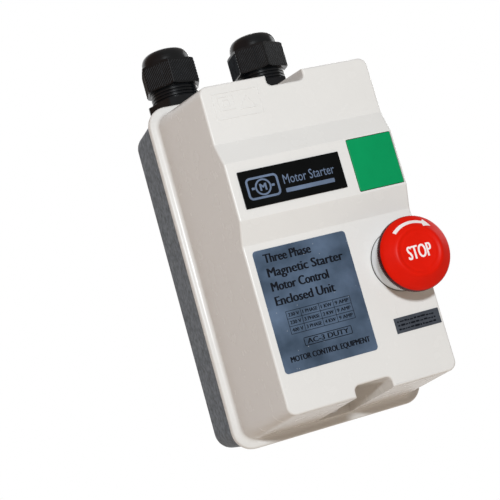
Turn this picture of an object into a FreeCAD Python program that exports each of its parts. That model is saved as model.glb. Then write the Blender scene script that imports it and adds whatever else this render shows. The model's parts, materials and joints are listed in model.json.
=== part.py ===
import FreeCAD, Part
import math
import os

V = FreeCAD.Vector

# Enclosed magnetic motor starter, modelled upright as it hangs on a wall.
# +Z is up, the front faces -Y, and the origin is the centre of the flat back.
# All lengths are in millimetres.

# --- rear housing -----------------------------------------------------------
BASE_W = 119.0
BASE_H = 207.0
BASE_DEPTH = 48.0
BASE_R = 11.0
BASE_WALL = 3.0
BACK_FILLET = 2.5
RIM_GAP = 0.3            # the gasket holds the cover this far off the rim
WALL_HOLE_X = 45.0       # four holes for the wall screws
WALL_HOLE_Z = 87.5
WALL_HOLE_R = 2.75

# --- cover ------------------------------------------------------------------
FLANGE_W = 123.0
FLANGE_H = 211.0
FLANGE_T = 4.0
FLANGE_R = 12.0
FOOT_W = 113.0           # cover walls where they leave the flange
FOOT_H = 201.0
FOOT_R = 9.0
FACE_W = 101.0           # cover walls at the low front plane
FACE_H = 182.0
FACE_R = 5.0
COVER_DEPTH = 76.0       # flange front to low front plane
COVER_WALL = 2.5
BAND_RISE = 6.0          # the middle band stands this far proud
BAND_TOP_OUT = 58.1      # where the slope above the band starts and ends
BAND_TOP_IN = 45.6
BAND_LOW_IN = 14.0
BAND_LOW_OUT = 1.2
EDGE_R = 1.3
FLANGE_EDGE_R = 1.5
ROOT_R = 2.5             # hollow curve where the walls meet the flange
NOTCH_HALF = 11.0        # screw notches in both end walls
NOTCH_Z = 85.0
NOTCH_R = 3.0
NOTCH_FLOOR = 4.0        # floor thickness in front of the flange
SCREW_Z = 94.0
SCREW_R = 2.0
BOSS_R = 6.5

# --- push buttons -----------------------------------------------------------
START_X = (21.7, 48.6)
START_Z = (15.4, 44.8)
START_GAP = 0.3
START_PROUD = 0.2
START_CAP = 3.2
POCKET_DEPTH = 6.0
STEM_R = 4.0
STOP_X = 35.5
STOP_Z = -25.7
STOP_R = 20.5
STOP_STAND = 26.5        # mushroom face in front of the low plane
COLLAR_R = 17.1
COLLAR_H = 12.4
PANEL_HOLE_R = 9.2
BARREL_R = 9.0

# --- labels -----------------------------------------------------------------
PLATE_X = (-44.5, 14.8)
PLATE_Z = (19.3, 39.7)
PLATE_T = 0.8
LABEL_X = (-46.2, 8.3)
LABEL_Z = (-69.5, -2.5)
LABEL_R = 2.0
SMALL_X = (21.6, 49.0)
SMALL_Z = (-64.5, -56.0)
FOIL_T = 0.25

# --- cable glands -----------------------------------------------------------
GLAND_X = {"left": -32.0, "right": 28.0}
GLAND_Y = -22.5
GLAND_TURN = {"left": -101.0, "right": -90.0}   # where one corner of the dome nut points
GLAND_AF = 33.0
THREAD_R = 12.5
ENTRY_CLEAR = 0.2
NECK_R = 15.2
PITCH = 1.5
NECK_PITCH = 2.0         # the dome nut climbs this much per turn
SEAL_BORE_R = 7.0
SEAL_R = 12.1
CLAW_R = 14.2
WASHER_T = 1.3
LOWER_HEX_TOP = 114.2
NUT_LOW = 122.4
NUT_SHOULDER = 138.9
DOME_TOP = 147.6

# --- derived planes ---------------------------------------------------------
RIM_Y = -(BASE_DEPTH - RIM_GAP)
FLANGE_BACK = -BASE_DEPTH
FLANGE_FRONT = FLANGE_BACK - FLANGE_T
LOW_Y = FLANGE_FRONT - COVER_DEPTH
BAND_Y = LOW_Y - BAND_RISE
FLOOR_Y = -BASE_WALL
TOP_Z = BASE_H / 2
PANEL_IN = LOW_Y + COVER_WALL
NOTCH_Y = FLANGE_FRONT - NOTCH_FLOOR

nodes = {}


# --- helpers ----------------------------------------------------------------
def box(x0, x1, y0, y1, z0, z1):
    """A block between two corners, in any order."""
    low = V(min(x0, x1), min(y0, y1), min(z0, z1))
    return Part.makeBox(abs(x1 - x0), abs(y1 - y0), abs(z1 - z0), low)


def cyl_y(x, z, r, y0, y1):
    """A cylinder along Y."""
    return Part.makeCylinder(r, abs(y1 - y0), V(x, min(y0, y1), z), V(0, 1, 0))


def cyl_z(x, y, r, z0, z1):
    """A cylinder along Z."""
    return Part.makeCylinder(r, abs(z1 - z0), V(x, y, min(z0, z1)), V(0, 0, 1))


def ring_y(x, z, r_out, r_in, y0, y1):
    """A flat ring whose axis is Y."""
    return cyl_y(x, z, r_out, y0, y1).cut(cyl_y(x, z, r_in, y0 - 1, y1 + 1))


def ring_z(x, y, r_out, r_in, z0, z1):
    """A ring whose axis is Z."""
    return cyl_z(x, y, r_out, z0, z1).cut(cyl_z(x, y, r_in, z0 - 1, z1 + 1))


def rounded_wire(y, half_w, half_h, r, cx=0.0, cz=0.0):
    """A rounded rectangle in the plane at y."""
    edges = []
    corners = ((1, 1), (-1, 1), (-1, -1), (1, -1))
    ends = []
    for index, (sx, sz) in enumerate(corners):
        centre = V(cx + sx * (half_w - r), y, cz + sz * (half_h - r))
        start = math.radians(90 * index)
        points = []
        for step in (0.0, 0.5, 1.0):
            angle = start + step * math.pi / 2
            points.append(centre + V(r * math.cos(angle), 0, r * math.sin(angle)))
        edges.append(Part.Arc(*points).toShape())
        ends.append((points[0], points[2]))
    for index in range(4):
        a = ends[index][1]
        b = ends[(index + 1) % 4][0]
        edges.append(Part.LineSegment(a, b).toShape())
    return Part.Wire(Part.__sortEdges__(edges))


def rounded_prism(half_w, half_h, r, y0, y1, cx=0.0, cz=0.0):
    """A rounded rectangle extruded along Y."""
    face = Part.Face(rounded_wire(y0, half_w, half_h, r, cx, cz))
    return face.extrude(V(0, y1 - y0, 0))


def rounded_span(x_span, z_span, r, y0, y1):
    """A rounded prism given by its X and Z limits."""
    half_w = (x_span[1] - x_span[0]) / 2
    half_h = (z_span[1] - z_span[0]) / 2
    return rounded_prism(half_w, half_h, r, y0, y1, sum(x_span) / 2, sum(z_span) / 2)


def x_prism(profile, half_w):
    """A closed (y, z) outline extruded along X, centred on x = 0."""
    points = [V(-half_w, y, z) for y, z in profile]
    points.append(points[0])
    return Part.Face(Part.makePolygon(points)).extrude(V(2 * half_w, 0, 0))


def hexagon_z(x, y, across_flats, z0, z1, corner_deg):
    """A hexagonal prism along Z with one corner at corner_deg."""
    r = across_flats / math.sqrt(3)
    points = []
    for index in range(7):
        angle = math.radians(corner_deg + 60 * index)
        points.append(V(x + r * math.cos(angle), y + r * math.sin(angle), z0))
    return Part.Face(Part.makePolygon(points)).extrude(V(0, 0, z1 - z0))


def revolve(profile, base, axis, side):
    """A closed (radius, height) outline turned about axis through base."""
    points = [base + side * radius + axis * height for radius, height in profile]
    points.append(points[0])
    return Part.Face(Part.makePolygon(points)).revolve(base, axis, 360)


def revolve_y(x, z, profile):
    """A turned solid about Y: the outline holds (radius, y) pairs."""
    return revolve(profile, V(x, 0, z), V(0, 1, 0), V(1, 0, 0))


def revolve_z(x, y, profile):
    """A turned solid about Z: the outline holds (radius, z) pairs."""
    return revolve(profile, V(x, y, 0), V(0, 0, 1), V(1, 0, 0))


def spring_y(x, z, mean_r, wire_r, y0, y1, turns):
    """A coil spring whose axis is Y."""
    length = y1 - y0 - 2 * wire_r
    pitch = length / turns
    helix = Part.makeHelix(pitch, length, mean_r)
    tangent = V(0, 2 * math.pi * mean_r, pitch)
    circle = Part.Wire(Part.makeCircle(wire_r, V(mean_r, 0, 0), tangent))
    coil = Part.Wire(helix.Edges).makePipeShell([circle], True, True)
    coil.rotate(V(0, 0, 0), V(1, 0, 0), -90)
    coil.translate(V(x, y0 + wire_r, z))
    return coil


def screw_y(x, z, head_r, head_h, shank_r, head_y, tip_y):
    """A pan-head screw driven towards +Y, with a slot in its head."""
    head = cyl_y(x, z, head_r, head_y - head_h, head_y)
    head = head.makeChamfer(0.25 * head_h, front_edges(head))
    slot_half = 0.12 * head_r
    slot = box(x - head_r, x + head_r, head_y - head_h, head_y - 0.5 * head_h, z - slot_half, z + slot_half)
    return head.cut(slot).fuse(cyl_y(x, z, shank_r, head_y, tip_y)).removeSplitter()


def front_edges(shape):
    """The edges that lie in the shape's front plane."""
    front = shape.BoundBox.YMin
    return [e for e in shape.Edges if e.BoundBox.YMax < front + 0.01]


def union(shapes):
    """One solid from shapes that overlap or touch."""
    result = shapes[0]
    for shape in shapes[1:]:
        result = result.fuse(shape)
    return result.removeSplitter()


def group(shapes):
    """Separate solids kept in one node."""
    return Part.makeCompound(shapes)


def minus(shape, cutters):
    """A shape with every cutter removed."""
    for cutter in cutters:
        shape = shape.cut(cutter)
    return shape


# --- rear housing -----------------------------------------------------------
GROOVE_IN = 0.9          # gasket groove, from the rim's outer edge
GROOVE_W = 1.3
GROOVE_DEEP = 1.5
GASKET_PROUD = 0.25
POST_R = 5.0
POST_X = 44.0
POST_Z = 66.0
POST_TOP = -5.0
PILOT_R = 1.6
KNOCKOUT_R = 12.9
KNOCKOUT_W = 0.8
KNOCKOUT_DEEP = 0.6
BACK_RIB_X = 24.0
BACK_RIB_HALF = 3.0
BACK_RIB_LONG = 62.0
BACK_RIB_DEEP = 0.8
COVER_PILOT_DEEP = 16.0  # holes that the cover screws cut into


def rim_ring(inset_out, inset_in, y0, y1):
    """A ring that follows the housing's rim."""
    outer = rounded_prism(BASE_W / 2 - inset_out, BASE_H / 2 - inset_out, BASE_R - inset_out, y0, y1)
    inner = rounded_prism(BASE_W / 2 - inset_in, BASE_H / 2 - inset_in, BASE_R - inset_in, y0, y1)
    return outer.cut(inner)


def rear_housing():
    outer = rounded_prism(BASE_W / 2, BASE_H / 2, BASE_R, RIM_Y, 0)
    back = outer.BoundBox.YMax
    outer = outer.makeFillet(BACK_FILLET, [e for e in outer.Edges if e.BoundBox.YMin > back - 0.01])
    wall = BASE_WALL
    inner = rounded_prism(BASE_W / 2 - wall, BASE_H / 2 - wall, BASE_R - wall, RIM_Y - 1, FLOOR_Y)
    shell = outer.cut(inner)
    solids = [shell]
    for sign in (1, -1):
        boss = cyl_y(0, sign * SCREW_Z, BOSS_R, RIM_Y, FLOOR_Y)
        web = box(-BOSS_R, BOSS_R, RIM_Y, FLOOR_Y, sign * SCREW_Z, sign * (TOP_Z - 1))
        solids += [boss, web]
    for sx in (1, -1):
        for sz in (1, -1):
            solids.append(cyl_y(sx * POST_X, sz * POST_Z, POST_R, POST_TOP, FLOOR_Y))
    shell = union(solids)
    cutters = []
    for sign in (1, -1):
        cutters.append(cyl_y(0, sign * SCREW_Z, SCREW_R + 0.1, RIM_Y - 1, RIM_Y + COVER_PILOT_DEEP))
        slot = rounded_prism(BACK_RIB_HALF, BACK_RIB_LONG, 1.0, -BACK_RIB_DEEP, 1, sign * BACK_RIB_X)
        cutters.append(slot)
    for sx in (1, -1):
        for sz in (1, -1):
            cutters.append(cyl_y(sx * WALL_HOLE_X, sz * WALL_HOLE_Z, WALL_HOLE_R, FLOOR_Y - 1, 1))
            cutters.append(cyl_y(sx * POST_X, sz * POST_Z, PILOT_R, POST_TOP - 1, -1))
    for x in GLAND_X.values():
        cutters.append(cyl_z(x, GLAND_Y, THREAD_R + ENTRY_CLEAR, TOP_Z - 10, TOP_Z + 1))
        low = -TOP_Z
        cutters.append(ring_z(x, GLAND_Y, KNOCKOUT_R, KNOCKOUT_R - KNOCKOUT_W, low - 1, low + KNOCKOUT_DEEP))
    cutters.append(rim_ring(GROOVE_IN, GROOVE_IN + GROOVE_W, RIM_Y - 1, RIM_Y + GROOVE_DEEP))
    return minus(shell, cutters)


nodes["rear_housing"] = rear_housing()
nodes["cover_gasket"] = rim_ring(GROOVE_IN, GROOVE_IN + GROOVE_W, RIM_Y - GASKET_PROUD, RIM_Y + GROOVE_DEEP)


# --- cover ------------------------------------------------------------------
SLOPE_SHIFT = 0.57       # the slopes' inner corners, for an even wall
SYMBOL_T = 0.25
FRAME_X = (-44.5, -17.0)
FRAME_Z = (71.0, 86.0)
SQUARE_X = (-41.7, -32.3)
SQUARE_Z = (75.8, 83.7)
TRIANGLE_X = (-30.3, -20.0)
TRIANGLE_Z = (74.9, 82.9)
LINE_W = 0.5
MARK_X = 25.0
MARK_Z = (-55.0, -49.0)


def cover_section(y, inset):
    """Half width, half height and corner radius of the cover walls at y."""
    t = (FLANGE_FRONT - y) / COVER_DEPTH
    half_w = (FOOT_W + (FACE_W - FOOT_W) * t) / 2 - inset
    half_h = (FOOT_H + (FACE_H - FOOT_H) * t) / 2 - inset
    r = FOOT_R + (FACE_R - FOOT_R) * t - inset
    return half_w, half_h, max(r, 0.8)


def cover_loft(y_back, y_front, inset):
    """The tapered body of the cover, inset by a wall thickness."""
    wires = [rounded_wire(y, *cover_section(y, inset)) for y in (y_back, y_front)]
    return Part.makeLoft(wires, True, True)


def cover_profile(y_back, inset, shift):
    """The side outline of the cover's front, with the raised band."""
    low = LOW_Y + inset
    high = BAND_Y + inset
    far = FLANGE_H
    outline = [
        (y_back, -far),
        (low, -far),
        (low, BAND_LOW_OUT + shift),
        (high, BAND_LOW_IN + shift),
        (high, BAND_TOP_IN - shift),
        (low, BAND_TOP_OUT - shift),
        (low, far),
        (y_back, far),
    ]
    return x_prism(outline, FLANGE_W)


def notch(grow, y_back):
    """The space of both screw notches, or the walls round it when grown."""
    half_h = 20.0
    tools = []
    for sign in (1, -1):
        cz = sign * (NOTCH_Z - grow + half_h)
        tools.append(rounded_prism(NOTCH_HALF + grow, half_h, NOTCH_R + grow, y_back, BAND_Y - 5, 0, cz))
    return tools


def cover_body():
    body = cover_loft(FLANGE_FRONT, BAND_Y, 0).common(cover_profile(FLANGE_FRONT, 0, 0))
    body = minus(body, notch(0, NOTCH_Y))
    reach = LOW_Y + 0.01
    edges = [e for e in body.Edges if e.BoundBox.YMax < reach]
    return body.makeFillet(EDGE_R, edges)


def symbol_outline(x_span, z_span, sides):
    """A raised closed line on the low front plane, four-sided or three-sided."""
    def flat(shrink):
        x0 = x_span[0] + shrink
        x1 = x_span[1] - shrink
        z0 = z_span[0] + shrink
        z1 = z_span[1] - shrink
        if sides == 4:
            corners = [(x0, z0), (x1, z0), (x1, z1), (x0, z1)]
        else:
            corners = [(x0 + shrink, z0), (x1 - shrink, z0), ((x0 + x1) / 2, z1 - shrink)]
        points = [V(x, LOW_Y + 0.1, z) for x, z in corners]
        points.append(points[0])
        return Part.Face(Part.makePolygon(points)).extrude(V(0, -SYMBOL_T - 0.1, 0))
    return flat(0).cut(flat(LINE_W))


def root_edges(shape):
    """The loop where the cover's walls leave the flange."""
    edges = []
    for edge in shape.Edges:
        span = edge.BoundBox
        flat = abs(span.YMin - FLANGE_FRONT) < 0.01 and abs(span.YMax - FLANGE_FRONT) < 0.01
        inside = span.XMax < FOOT_W / 2 + 0.1 and span.XMin > -FOOT_W / 2 - 0.1
        if flat and inside and abs(span.ZMax) < FOOT_H / 2 + 0.1 and abs(span.ZMin) < FOOT_H / 2 + 0.1:
            edges.append(edge)
    return edges


def front_cover():
    flange = rounded_prism(FLANGE_W / 2, FLANGE_H / 2, FLANGE_R, FLANGE_FRONT, FLANGE_BACK)
    flange = flange.makeFillet(FLANGE_EDGE_R, front_edges(flange))
    body = cover_body()
    outer = flange.fuse(body)
    outer = outer.makeFillet(ROOT_R, root_edges(outer))
    inner = cover_loft(FLANGE_BACK + 1, BAND_Y, COVER_WALL)
    inner = inner.common(cover_profile(FLANGE_BACK + 1, COVER_WALL, SLOPE_SHIFT))
    inner = minus(inner, notch(COVER_WALL, FLANGE_BACK + 1))
    back_wall = BAND_Y + POCKET_DEPTH + COVER_WALL
    pocket_block = box(START_X[0] - 2.5, FLANGE_W, BAND_Y - 1, back_wall, START_Z[0] - 2.5, START_Z[1] + 2.5)
    inner = inner.cut(pocket_block)
    shell = outer.cut(inner)
    gap = START_GAP
    pocket_x = (START_X[0] - gap, START_X[1] + gap)
    pocket_z = (START_Z[0] - gap, START_Z[1] + gap)
    start_x = sum(START_X) / 2
    start_z = sum(START_Z) / 2
    cutters = [
        rounded_span(pocket_x, pocket_z, 0.8, BAND_Y - 1, BAND_Y + POCKET_DEPTH),
        cyl_y(start_x, start_z, STEM_R + 0.25, BAND_Y, back_wall + 1),
        cyl_y(STOP_X, STOP_Z, PANEL_HOLE_R, LOW_Y - 1, PANEL_IN + 1),
    ]
    for sign in (1, -1):
        cutters.append(cyl_y(0, sign * SCREW_Z, SCREW_R + 0.3, NOTCH_Y - 1, FLANGE_BACK + 1))
    shell = minus(shell, cutters)
    middle_x = sum(SQUARE_X) / 2
    middle_z = sum(SQUARE_Z) / 2
    raised = [
        symbol_outline(FRAME_X, FRAME_Z, 4),
        symbol_outline(SQUARE_X, SQUARE_Z, 4),
        symbol_outline((middle_x - 2, middle_x + 2), (middle_z - 2, middle_z + 2), 4),
        symbol_outline(TRIANGLE_X, TRIANGLE_Z, 3),
        box(MARK_X - 0.5, MARK_X + 0.5, LOW_Y - SYMBOL_T, LOW_Y + 0.1, MARK_Z[0], MARK_Z[1]),
    ]
    return union([shell] + raised)


def cover_screws():
    screws = []
    for sign in (1, -1):
        screws.append(screw_y(0, sign * SCREW_Z, 4.0, 3.0, SCREW_R, NOTCH_Y, RIM_Y + 12))
    return group(screws)


nodes["front_cover"] = front_cover()
nodes["cover_screws"] = cover_screws()
nodes["nameplate"] = rounded_span(PLATE_X, PLATE_Z, 0.4, BAND_Y - PLATE_T, BAND_Y)
nodes["rating_label"] = rounded_span(LABEL_X, LABEL_Z, LABEL_R, LOW_Y - FOIL_T, LOW_Y)
nodes["small_label"] = rounded_span(SMALL_X, SMALL_Z, 0.3, LOW_Y - FOIL_T, LOW_Y)


# --- start button -----------------------------------------------------------
START_MID_X = sum(START_X) / 2
START_MID_Z = sum(START_Z) / 2
START_BACK = BAND_Y + POCKET_DEPTH + COVER_WALL
START_COLLAR_R = 6.5
START_COLLAR_T = 1.8
BLOCK_FRONT = START_BACK + 14.0
BLOCK_DEPTH = 24.0
BLOCK_HALF = 9.3
BLOCK_HOLE_DEEP = 8.0
EAR_T = 2.2
EAR_HALF_H = 6.0
SPRING_WIRE_R = 0.45


def start_button():
    front = BAND_Y - START_PROUD
    cap = rounded_span(START_X, START_Z, 0.6, front, front + START_CAP)
    return cap.makeFillet(0.4, front_edges(cap))


def start_plunger():
    cap_back = BAND_Y - START_PROUD + START_CAP
    collar_y = START_BACK + 0.2
    stem = cyl_y(START_MID_X, START_MID_Z, STEM_R, cap_back, BLOCK_FRONT + 4)
    collar = cyl_y(START_MID_X, START_MID_Z, START_COLLAR_R, collar_y, collar_y + START_COLLAR_T)
    return union([stem, collar])


def contact_block(x, z, front, depth, half, hole_r, hole_deep):
    """A contact block with ribbed sides and a blind hole for the plunger."""
    body = box(x - half, x + half, front, front + depth, z - half, z + half)
    ribs = []
    for index in range(3):
        y = front + 5 + 6 * index
        for sign in (1, -1):
            ribs.append(box(x - half - 0.6, x + half + 0.6, y, y + 2, z + sign * 3, z + sign * 6))
    body = union([body] + ribs)
    return body.cut(cyl_y(x, z, hole_r, front - 1, front + hole_deep))


def block_terminals(x, z, back, half):
    """Two terminal screws on the back of a contact block."""
    screws = []
    for sign in (1, -1):
        cz = z + sign * (half - 3.5)
        plate = box(x - 3, x + 3, back, back + 1, cz - 2.8, cz + 2.8)
        head = cyl_y(x, cz, 2.4, back + 1, back + 3)
        slot = box(x - 3, x + 3, back + 2.2, back + 3.5, cz - 0.35, cz + 0.35)
        screws.append(union([plate, head]).cut(slot))
    return group(screws)


def start_contact_block():
    hole_r = STEM_R + 0.3
    body = contact_block(START_MID_X, START_MID_Z, BLOCK_FRONT, BLOCK_DEPTH, BLOCK_HALF, hole_r, BLOCK_HOLE_DEEP)
    ears = []
    for sign in (1, -1):
        x = START_MID_X + sign * BLOCK_HALF
        z_span = (START_MID_Z - EAR_HALF_H, START_MID_Z + EAR_HALF_H)
        ears.append(box(x, x - sign * EAR_T, START_BACK, BLOCK_FRONT + 1, *z_span))
    return union([body] + ears)


nodes["start_button"] = start_button()
nodes["start_plunger"] = start_plunger()
nodes["start_contact_block"] = start_contact_block()
nodes["start_spring"] = spring_y(
    START_MID_X, START_MID_Z, 4.9, SPRING_WIRE_R, START_BACK + 2.1, BLOCK_FRONT, 7
)
nodes["start_terminals"] = block_terminals(START_MID_X, START_MID_Z, BLOCK_FRONT + BLOCK_DEPTH, BLOCK_HALF)


# --- stop button ------------------------------------------------------------
STOP_GASKET_T = 0.7
COLLAR_FRONT = LOW_Y - STOP_GASKET_T - COLLAR_H
STOP_FACE = LOW_Y - STOP_STAND
SKIRT_BACK = STOP_FACE + 10.5
SKIRT_WALL = 1.1
SKIRT_FRONT_IN = 6.2     # the widest line, behind the mushroom's face
DISH_R = 11.8
DISH_DEEP = 0.7
STEM_HEAD_R = 6.2
STEM_HEAD_LONG = 15.5
STEM_START = 3.2         # behind the mushroom's face
PLATE_BACK_IN = 3.0      # back of the mushroom's front wall, behind its face
CONE_BACK_IN = 8.4       # the same at the skirt
CONE = ((2.0, 3.9), (0.7, 4.9), (0.1, 5.6))     # inside the widest line, and behind the face
BARREL_FRONT = LOW_Y - 10.3
BARREL_BACK = LOW_Y + 30.0
BARREL_SEAT = BARREL_BACK - 7.0
BARREL_BORE_R = 6.5
LOCKNUT_T = 6.0
LOCKNUT_R = 12.2
STOP_BLOCK_DEPTH = 26.0
STOP_BLOCK_HALF = 10.3


def stop_head():
    face = STOP_FACE
    profile = [
        (0, face + DISH_DEEP),
        (DISH_R - 0.8, face + DISH_DEEP),
        (DISH_R, face + 0.2),
        (DISH_R + 0.6, face),
        (DISH_R + 1.6, face + 0.15),
    ]
    profile += [(STOP_R - inside, face + behind) for inside, behind in CONE]
    profile += [
        (STOP_R, face + SKIRT_FRONT_IN),
        (STOP_R, SKIRT_BACK),
        (STOP_R - SKIRT_WALL, SKIRT_BACK),
        (STOP_R - SKIRT_WALL, face + CONE_BACK_IN),
        (STEM_HEAD_R + 2.4, face + PLATE_BACK_IN),
        (STEM_HEAD_R + 2, SKIRT_BACK),
        (STEM_HEAD_R + 0.1, SKIRT_BACK),
        (STEM_HEAD_R + 0.1, face + PLATE_BACK_IN),
        (0, face + PLATE_BACK_IN),
    ]
    return revolve_y(STOP_X, STOP_Z, profile)


def stop_collar():
    back = LOW_Y - STOP_GASKET_T
    profile = [
        (PANEL_HOLE_R, back),
        (COLLAR_R, back),
        (COLLAR_R, back - 2.5),
        (COLLAR_R - 0.4, COLLAR_FRONT + 1.2),
        (COLLAR_R - 1.4, COLLAR_FRONT),
        (PANEL_HOLE_R, COLLAR_FRONT),
    ]
    return revolve_y(STOP_X, STOP_Z, profile)


def stop_barrel():
    tube = cyl_y(STOP_X, STOP_Z, BARREL_R, BARREL_FRONT, BARREL_BACK)
    bore = cyl_y(STOP_X, STOP_Z, BARREL_BORE_R, BARREL_FRONT - 1, BARREL_SEAT)
    hole = cyl_y(STOP_X, STOP_Z, STEM_R + 0.25, BARREL_FRONT - 1, BARREL_BACK + 1)
    grooves = []
    for index in range(9):
        y = PANEL_IN + LOCKNUT_T + 1 + index * PITCH
        grooves.append(ring_y(STOP_X, STOP_Z, BARREL_R + 1, BARREL_R - 0.6, y, y + PITCH / 2))
    return minus(tube, [bore, hole] + grooves)


def stop_locknut():
    nut = ring_y(STOP_X, STOP_Z, LOCKNUT_R, BARREL_R, PANEL_IN, PANEL_IN + LOCKNUT_T)
    notches = []
    count = 12
    for index in range(count):
        angle = 2 * math.pi * index / count
        x = STOP_X + LOCKNUT_R * math.cos(angle)
        z = STOP_Z + LOCKNUT_R * math.sin(angle)
        notches.append(cyl_y(x, z, 1.1, PANEL_IN - 1, PANEL_IN + LOCKNUT_T + 1))
    return minus(nut, notches)


def stop_stem():
    front = STOP_FACE + STEM_START
    shoulder = front + STEM_HEAD_LONG
    head = cyl_y(STOP_X, STOP_Z, STEM_HEAD_R, front, shoulder)
    rod = cyl_y(STOP_X, STOP_Z, STEM_R, shoulder, BARREL_BACK + 1.5)
    return union([head, rod])


nodes["stop_gasket"] = ring_y(STOP_X, STOP_Z, COLLAR_R + 0.2, PANEL_HOLE_R, LOW_Y - STOP_GASKET_T, LOW_Y)
nodes["stop_collar"] = stop_collar()
nodes["stop_barrel"] = stop_barrel()
nodes["stop_locknut"] = stop_locknut()
nodes["stop_head"] = stop_head()
nodes["stop_stem"] = stop_stem()
nodes["stop_spring"] = spring_y(
    STOP_X, STOP_Z, 5.3, SPRING_WIRE_R, STOP_FACE + STEM_START + STEM_HEAD_LONG, BARREL_SEAT, 10
)
nodes["stop_contact_block"] = contact_block(
    STOP_X, STOP_Z, BARREL_BACK, STOP_BLOCK_DEPTH, STOP_BLOCK_HALF, STEM_R + 0.3, BLOCK_HOLE_DEEP
)
nodes["stop_terminals"] = block_terminals(STOP_X, STOP_Z, BARREL_BACK + STOP_BLOCK_DEPTH, STOP_BLOCK_HALF)


# --- cable glands -----------------------------------------------------------
LOCK_AF = 30.0
LOCK_T = 6.0
THREAD_END = 92.5
CORNER_R = 18.9          # the dome nut's corners are just taken off
NUT_CHAMFER = 1.2
DOME_R = 15.6
DOME_SIDE = 2.0          # the dome rises this far before it rounds over
MOUTH_R = 10.2           # where the rounding ends
CABLE_HOLE_R = 8.2
NUT_THREAD_LONG = 10.5
NECK_TOP = 130.4
THREAD_DEEP = 0.8
SEAL_Z = (124.0, 138.0)
CLAW_TOP = 139.0
CLAW_SLOTS = 10
SLOT_W = 0.8
LOCK_CLEAR = 0.05


def ridged_rod(x, y, r, pitch, z0, z1):
    """A rod along Z with evenly spaced thread ridges, plain at both ends."""
    outline = [(0, z0), (r, z0)]
    count = int((z1 - z0) / pitch)
    for index in range(count):
        z = z0 + index * pitch
        root = r - THREAD_DEEP
        outline += [(r, z + 0.35 * pitch), (root, z + 0.6 * pitch), (root, z + 0.75 * pitch), (r, z + pitch)]
    outline += [(r, z1), (0, z1)]
    return revolve_z(x, y, [point for i, point in enumerate(outline) if i == 0 or point != outline[i - 1]])


def gland_body(x):
    hex_low = TOP_Z + WASHER_T
    corner_r = GLAND_AF / math.sqrt(3)
    hexagon = hexagon_z(x, GLAND_Y, GLAND_AF, hex_low, LOWER_HEX_TOP, 0)
    hexagon = hexagon.common(cyl_z(x, GLAND_Y, corner_r - 0.4, hex_low, LOWER_HEX_TOP))
    lock_low = TOP_Z - BASE_WALL - LOCK_T
    thread_tip = ridged_rod(x, GLAND_Y, THREAD_R, PITCH, THREAD_END, lock_low)
    thread = cyl_z(x, GLAND_Y, THREAD_R, lock_low, hex_low)
    neck = ridged_rod(x, GLAND_Y, NECK_R, NECK_PITCH, LOWER_HEX_TOP, NECK_TOP)
    claw = cyl_z(x, GLAND_Y, CLAW_R, NECK_TOP, CLAW_TOP)
    body = union([hexagon, thread_tip, thread, neck, claw])
    bore = cyl_z(x, GLAND_Y, SEAL_BORE_R + 1.6, THREAD_END - 1, CLAW_TOP + 1)
    seat = cyl_z(x, GLAND_Y, SEAL_R + 0.2, SEAL_Z[0], CLAW_TOP + 1)
    cutters = [bore, seat]
    for index in range(CLAW_SLOTS // 2):
        y_span = (GLAND_Y - SLOT_W / 2, GLAND_Y + SLOT_W / 2)
        slot = box(x - CLAW_R - 1, x + CLAW_R + 1, *y_span, NECK_TOP + 1, CLAW_TOP + 1)
        slot.rotate(V(x, GLAND_Y, 0), V(0, 0, 1), 360.0 * index / CLAW_SLOTS)
        cutters.append(slot)
    return minus(body, cutters)


def gland_nut(side):
    """The dome nut: a full hexagon, a narrow ledge and a rounded dome with a hole for the cable."""
    x = GLAND_X[side]
    outer = hexagon_z(x, GLAND_Y, GLAND_AF, NUT_LOW, DOME_TOP, GLAND_TURN[side])
    round_z = NUT_SHOULDER + DOME_SIDE
    turned = [
        (0, NUT_LOW),
        (CORNER_R - NUT_CHAMFER, NUT_LOW),
        (CORNER_R, NUT_LOW + NUT_CHAMFER / 2),
        (CORNER_R, NUT_SHOULDER - NUT_CHAMFER / 2),
        (CORNER_R - NUT_CHAMFER, NUT_SHOULDER),
        (DOME_R, NUT_SHOULDER),
        (DOME_R, round_z),
    ]
    steps = 8
    for index in range(1, steps + 1):
        angle = math.radians(90.0 * index / steps)
        r = MOUTH_R + (DOME_R - MOUTH_R) * math.cos(angle)
        turned.append((r, round_z + (DOME_TOP - round_z) * math.sin(angle)))
    turned.append((0, DOME_TOP))
    outer = outer.common(revolve_z(x, GLAND_Y, turned))
    thread_top = NUT_LOW + NUT_THREAD_LONG
    inside = [
        (0, NUT_LOW - 1),
        (NECK_R + 0.15, NUT_LOW - 1),
        (NECK_R + 0.15, thread_top),
        (CLAW_R + 0.2, thread_top),
        (CLAW_R + 0.2, CLAW_TOP),
        (CABLE_HOLE_R, DOME_TOP - 1.5),
        (CABLE_HOLE_R, DOME_TOP + 1),
        (0, DOME_TOP + 1),
    ]
    return outer.cut(revolve_z(x, GLAND_Y, inside))


def gland_seal(x):
    ring = ring_z(x, GLAND_Y, SEAL_R, SEAL_BORE_R, SEAL_Z[0], SEAL_Z[1])
    rim = [e for e in ring.Edges if e.BoundBox.ZMin > SEAL_Z[1] - 0.01]
    return ring.makeChamfer(0.8, rim)


def gland_locknuts():
    nuts = []
    for x in GLAND_X.values():
        low = TOP_Z - BASE_WALL - LOCK_T
        nut = hexagon_z(x, GLAND_Y, LOCK_AF, low, low + LOCK_T, 30)
        nuts.append(nut.cut(cyl_z(x, GLAND_Y, THREAD_R + LOCK_CLEAR, low - 1, low + LOCK_T + 1)))
    return group(nuts)


def gland_washers():
    washers = []
    for x in GLAND_X.values():
        washers.append(ring_z(x, GLAND_Y, GLAND_AF / 2, THREAD_R, TOP_Z, TOP_Z + WASHER_T))
    return group(washers)


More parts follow.
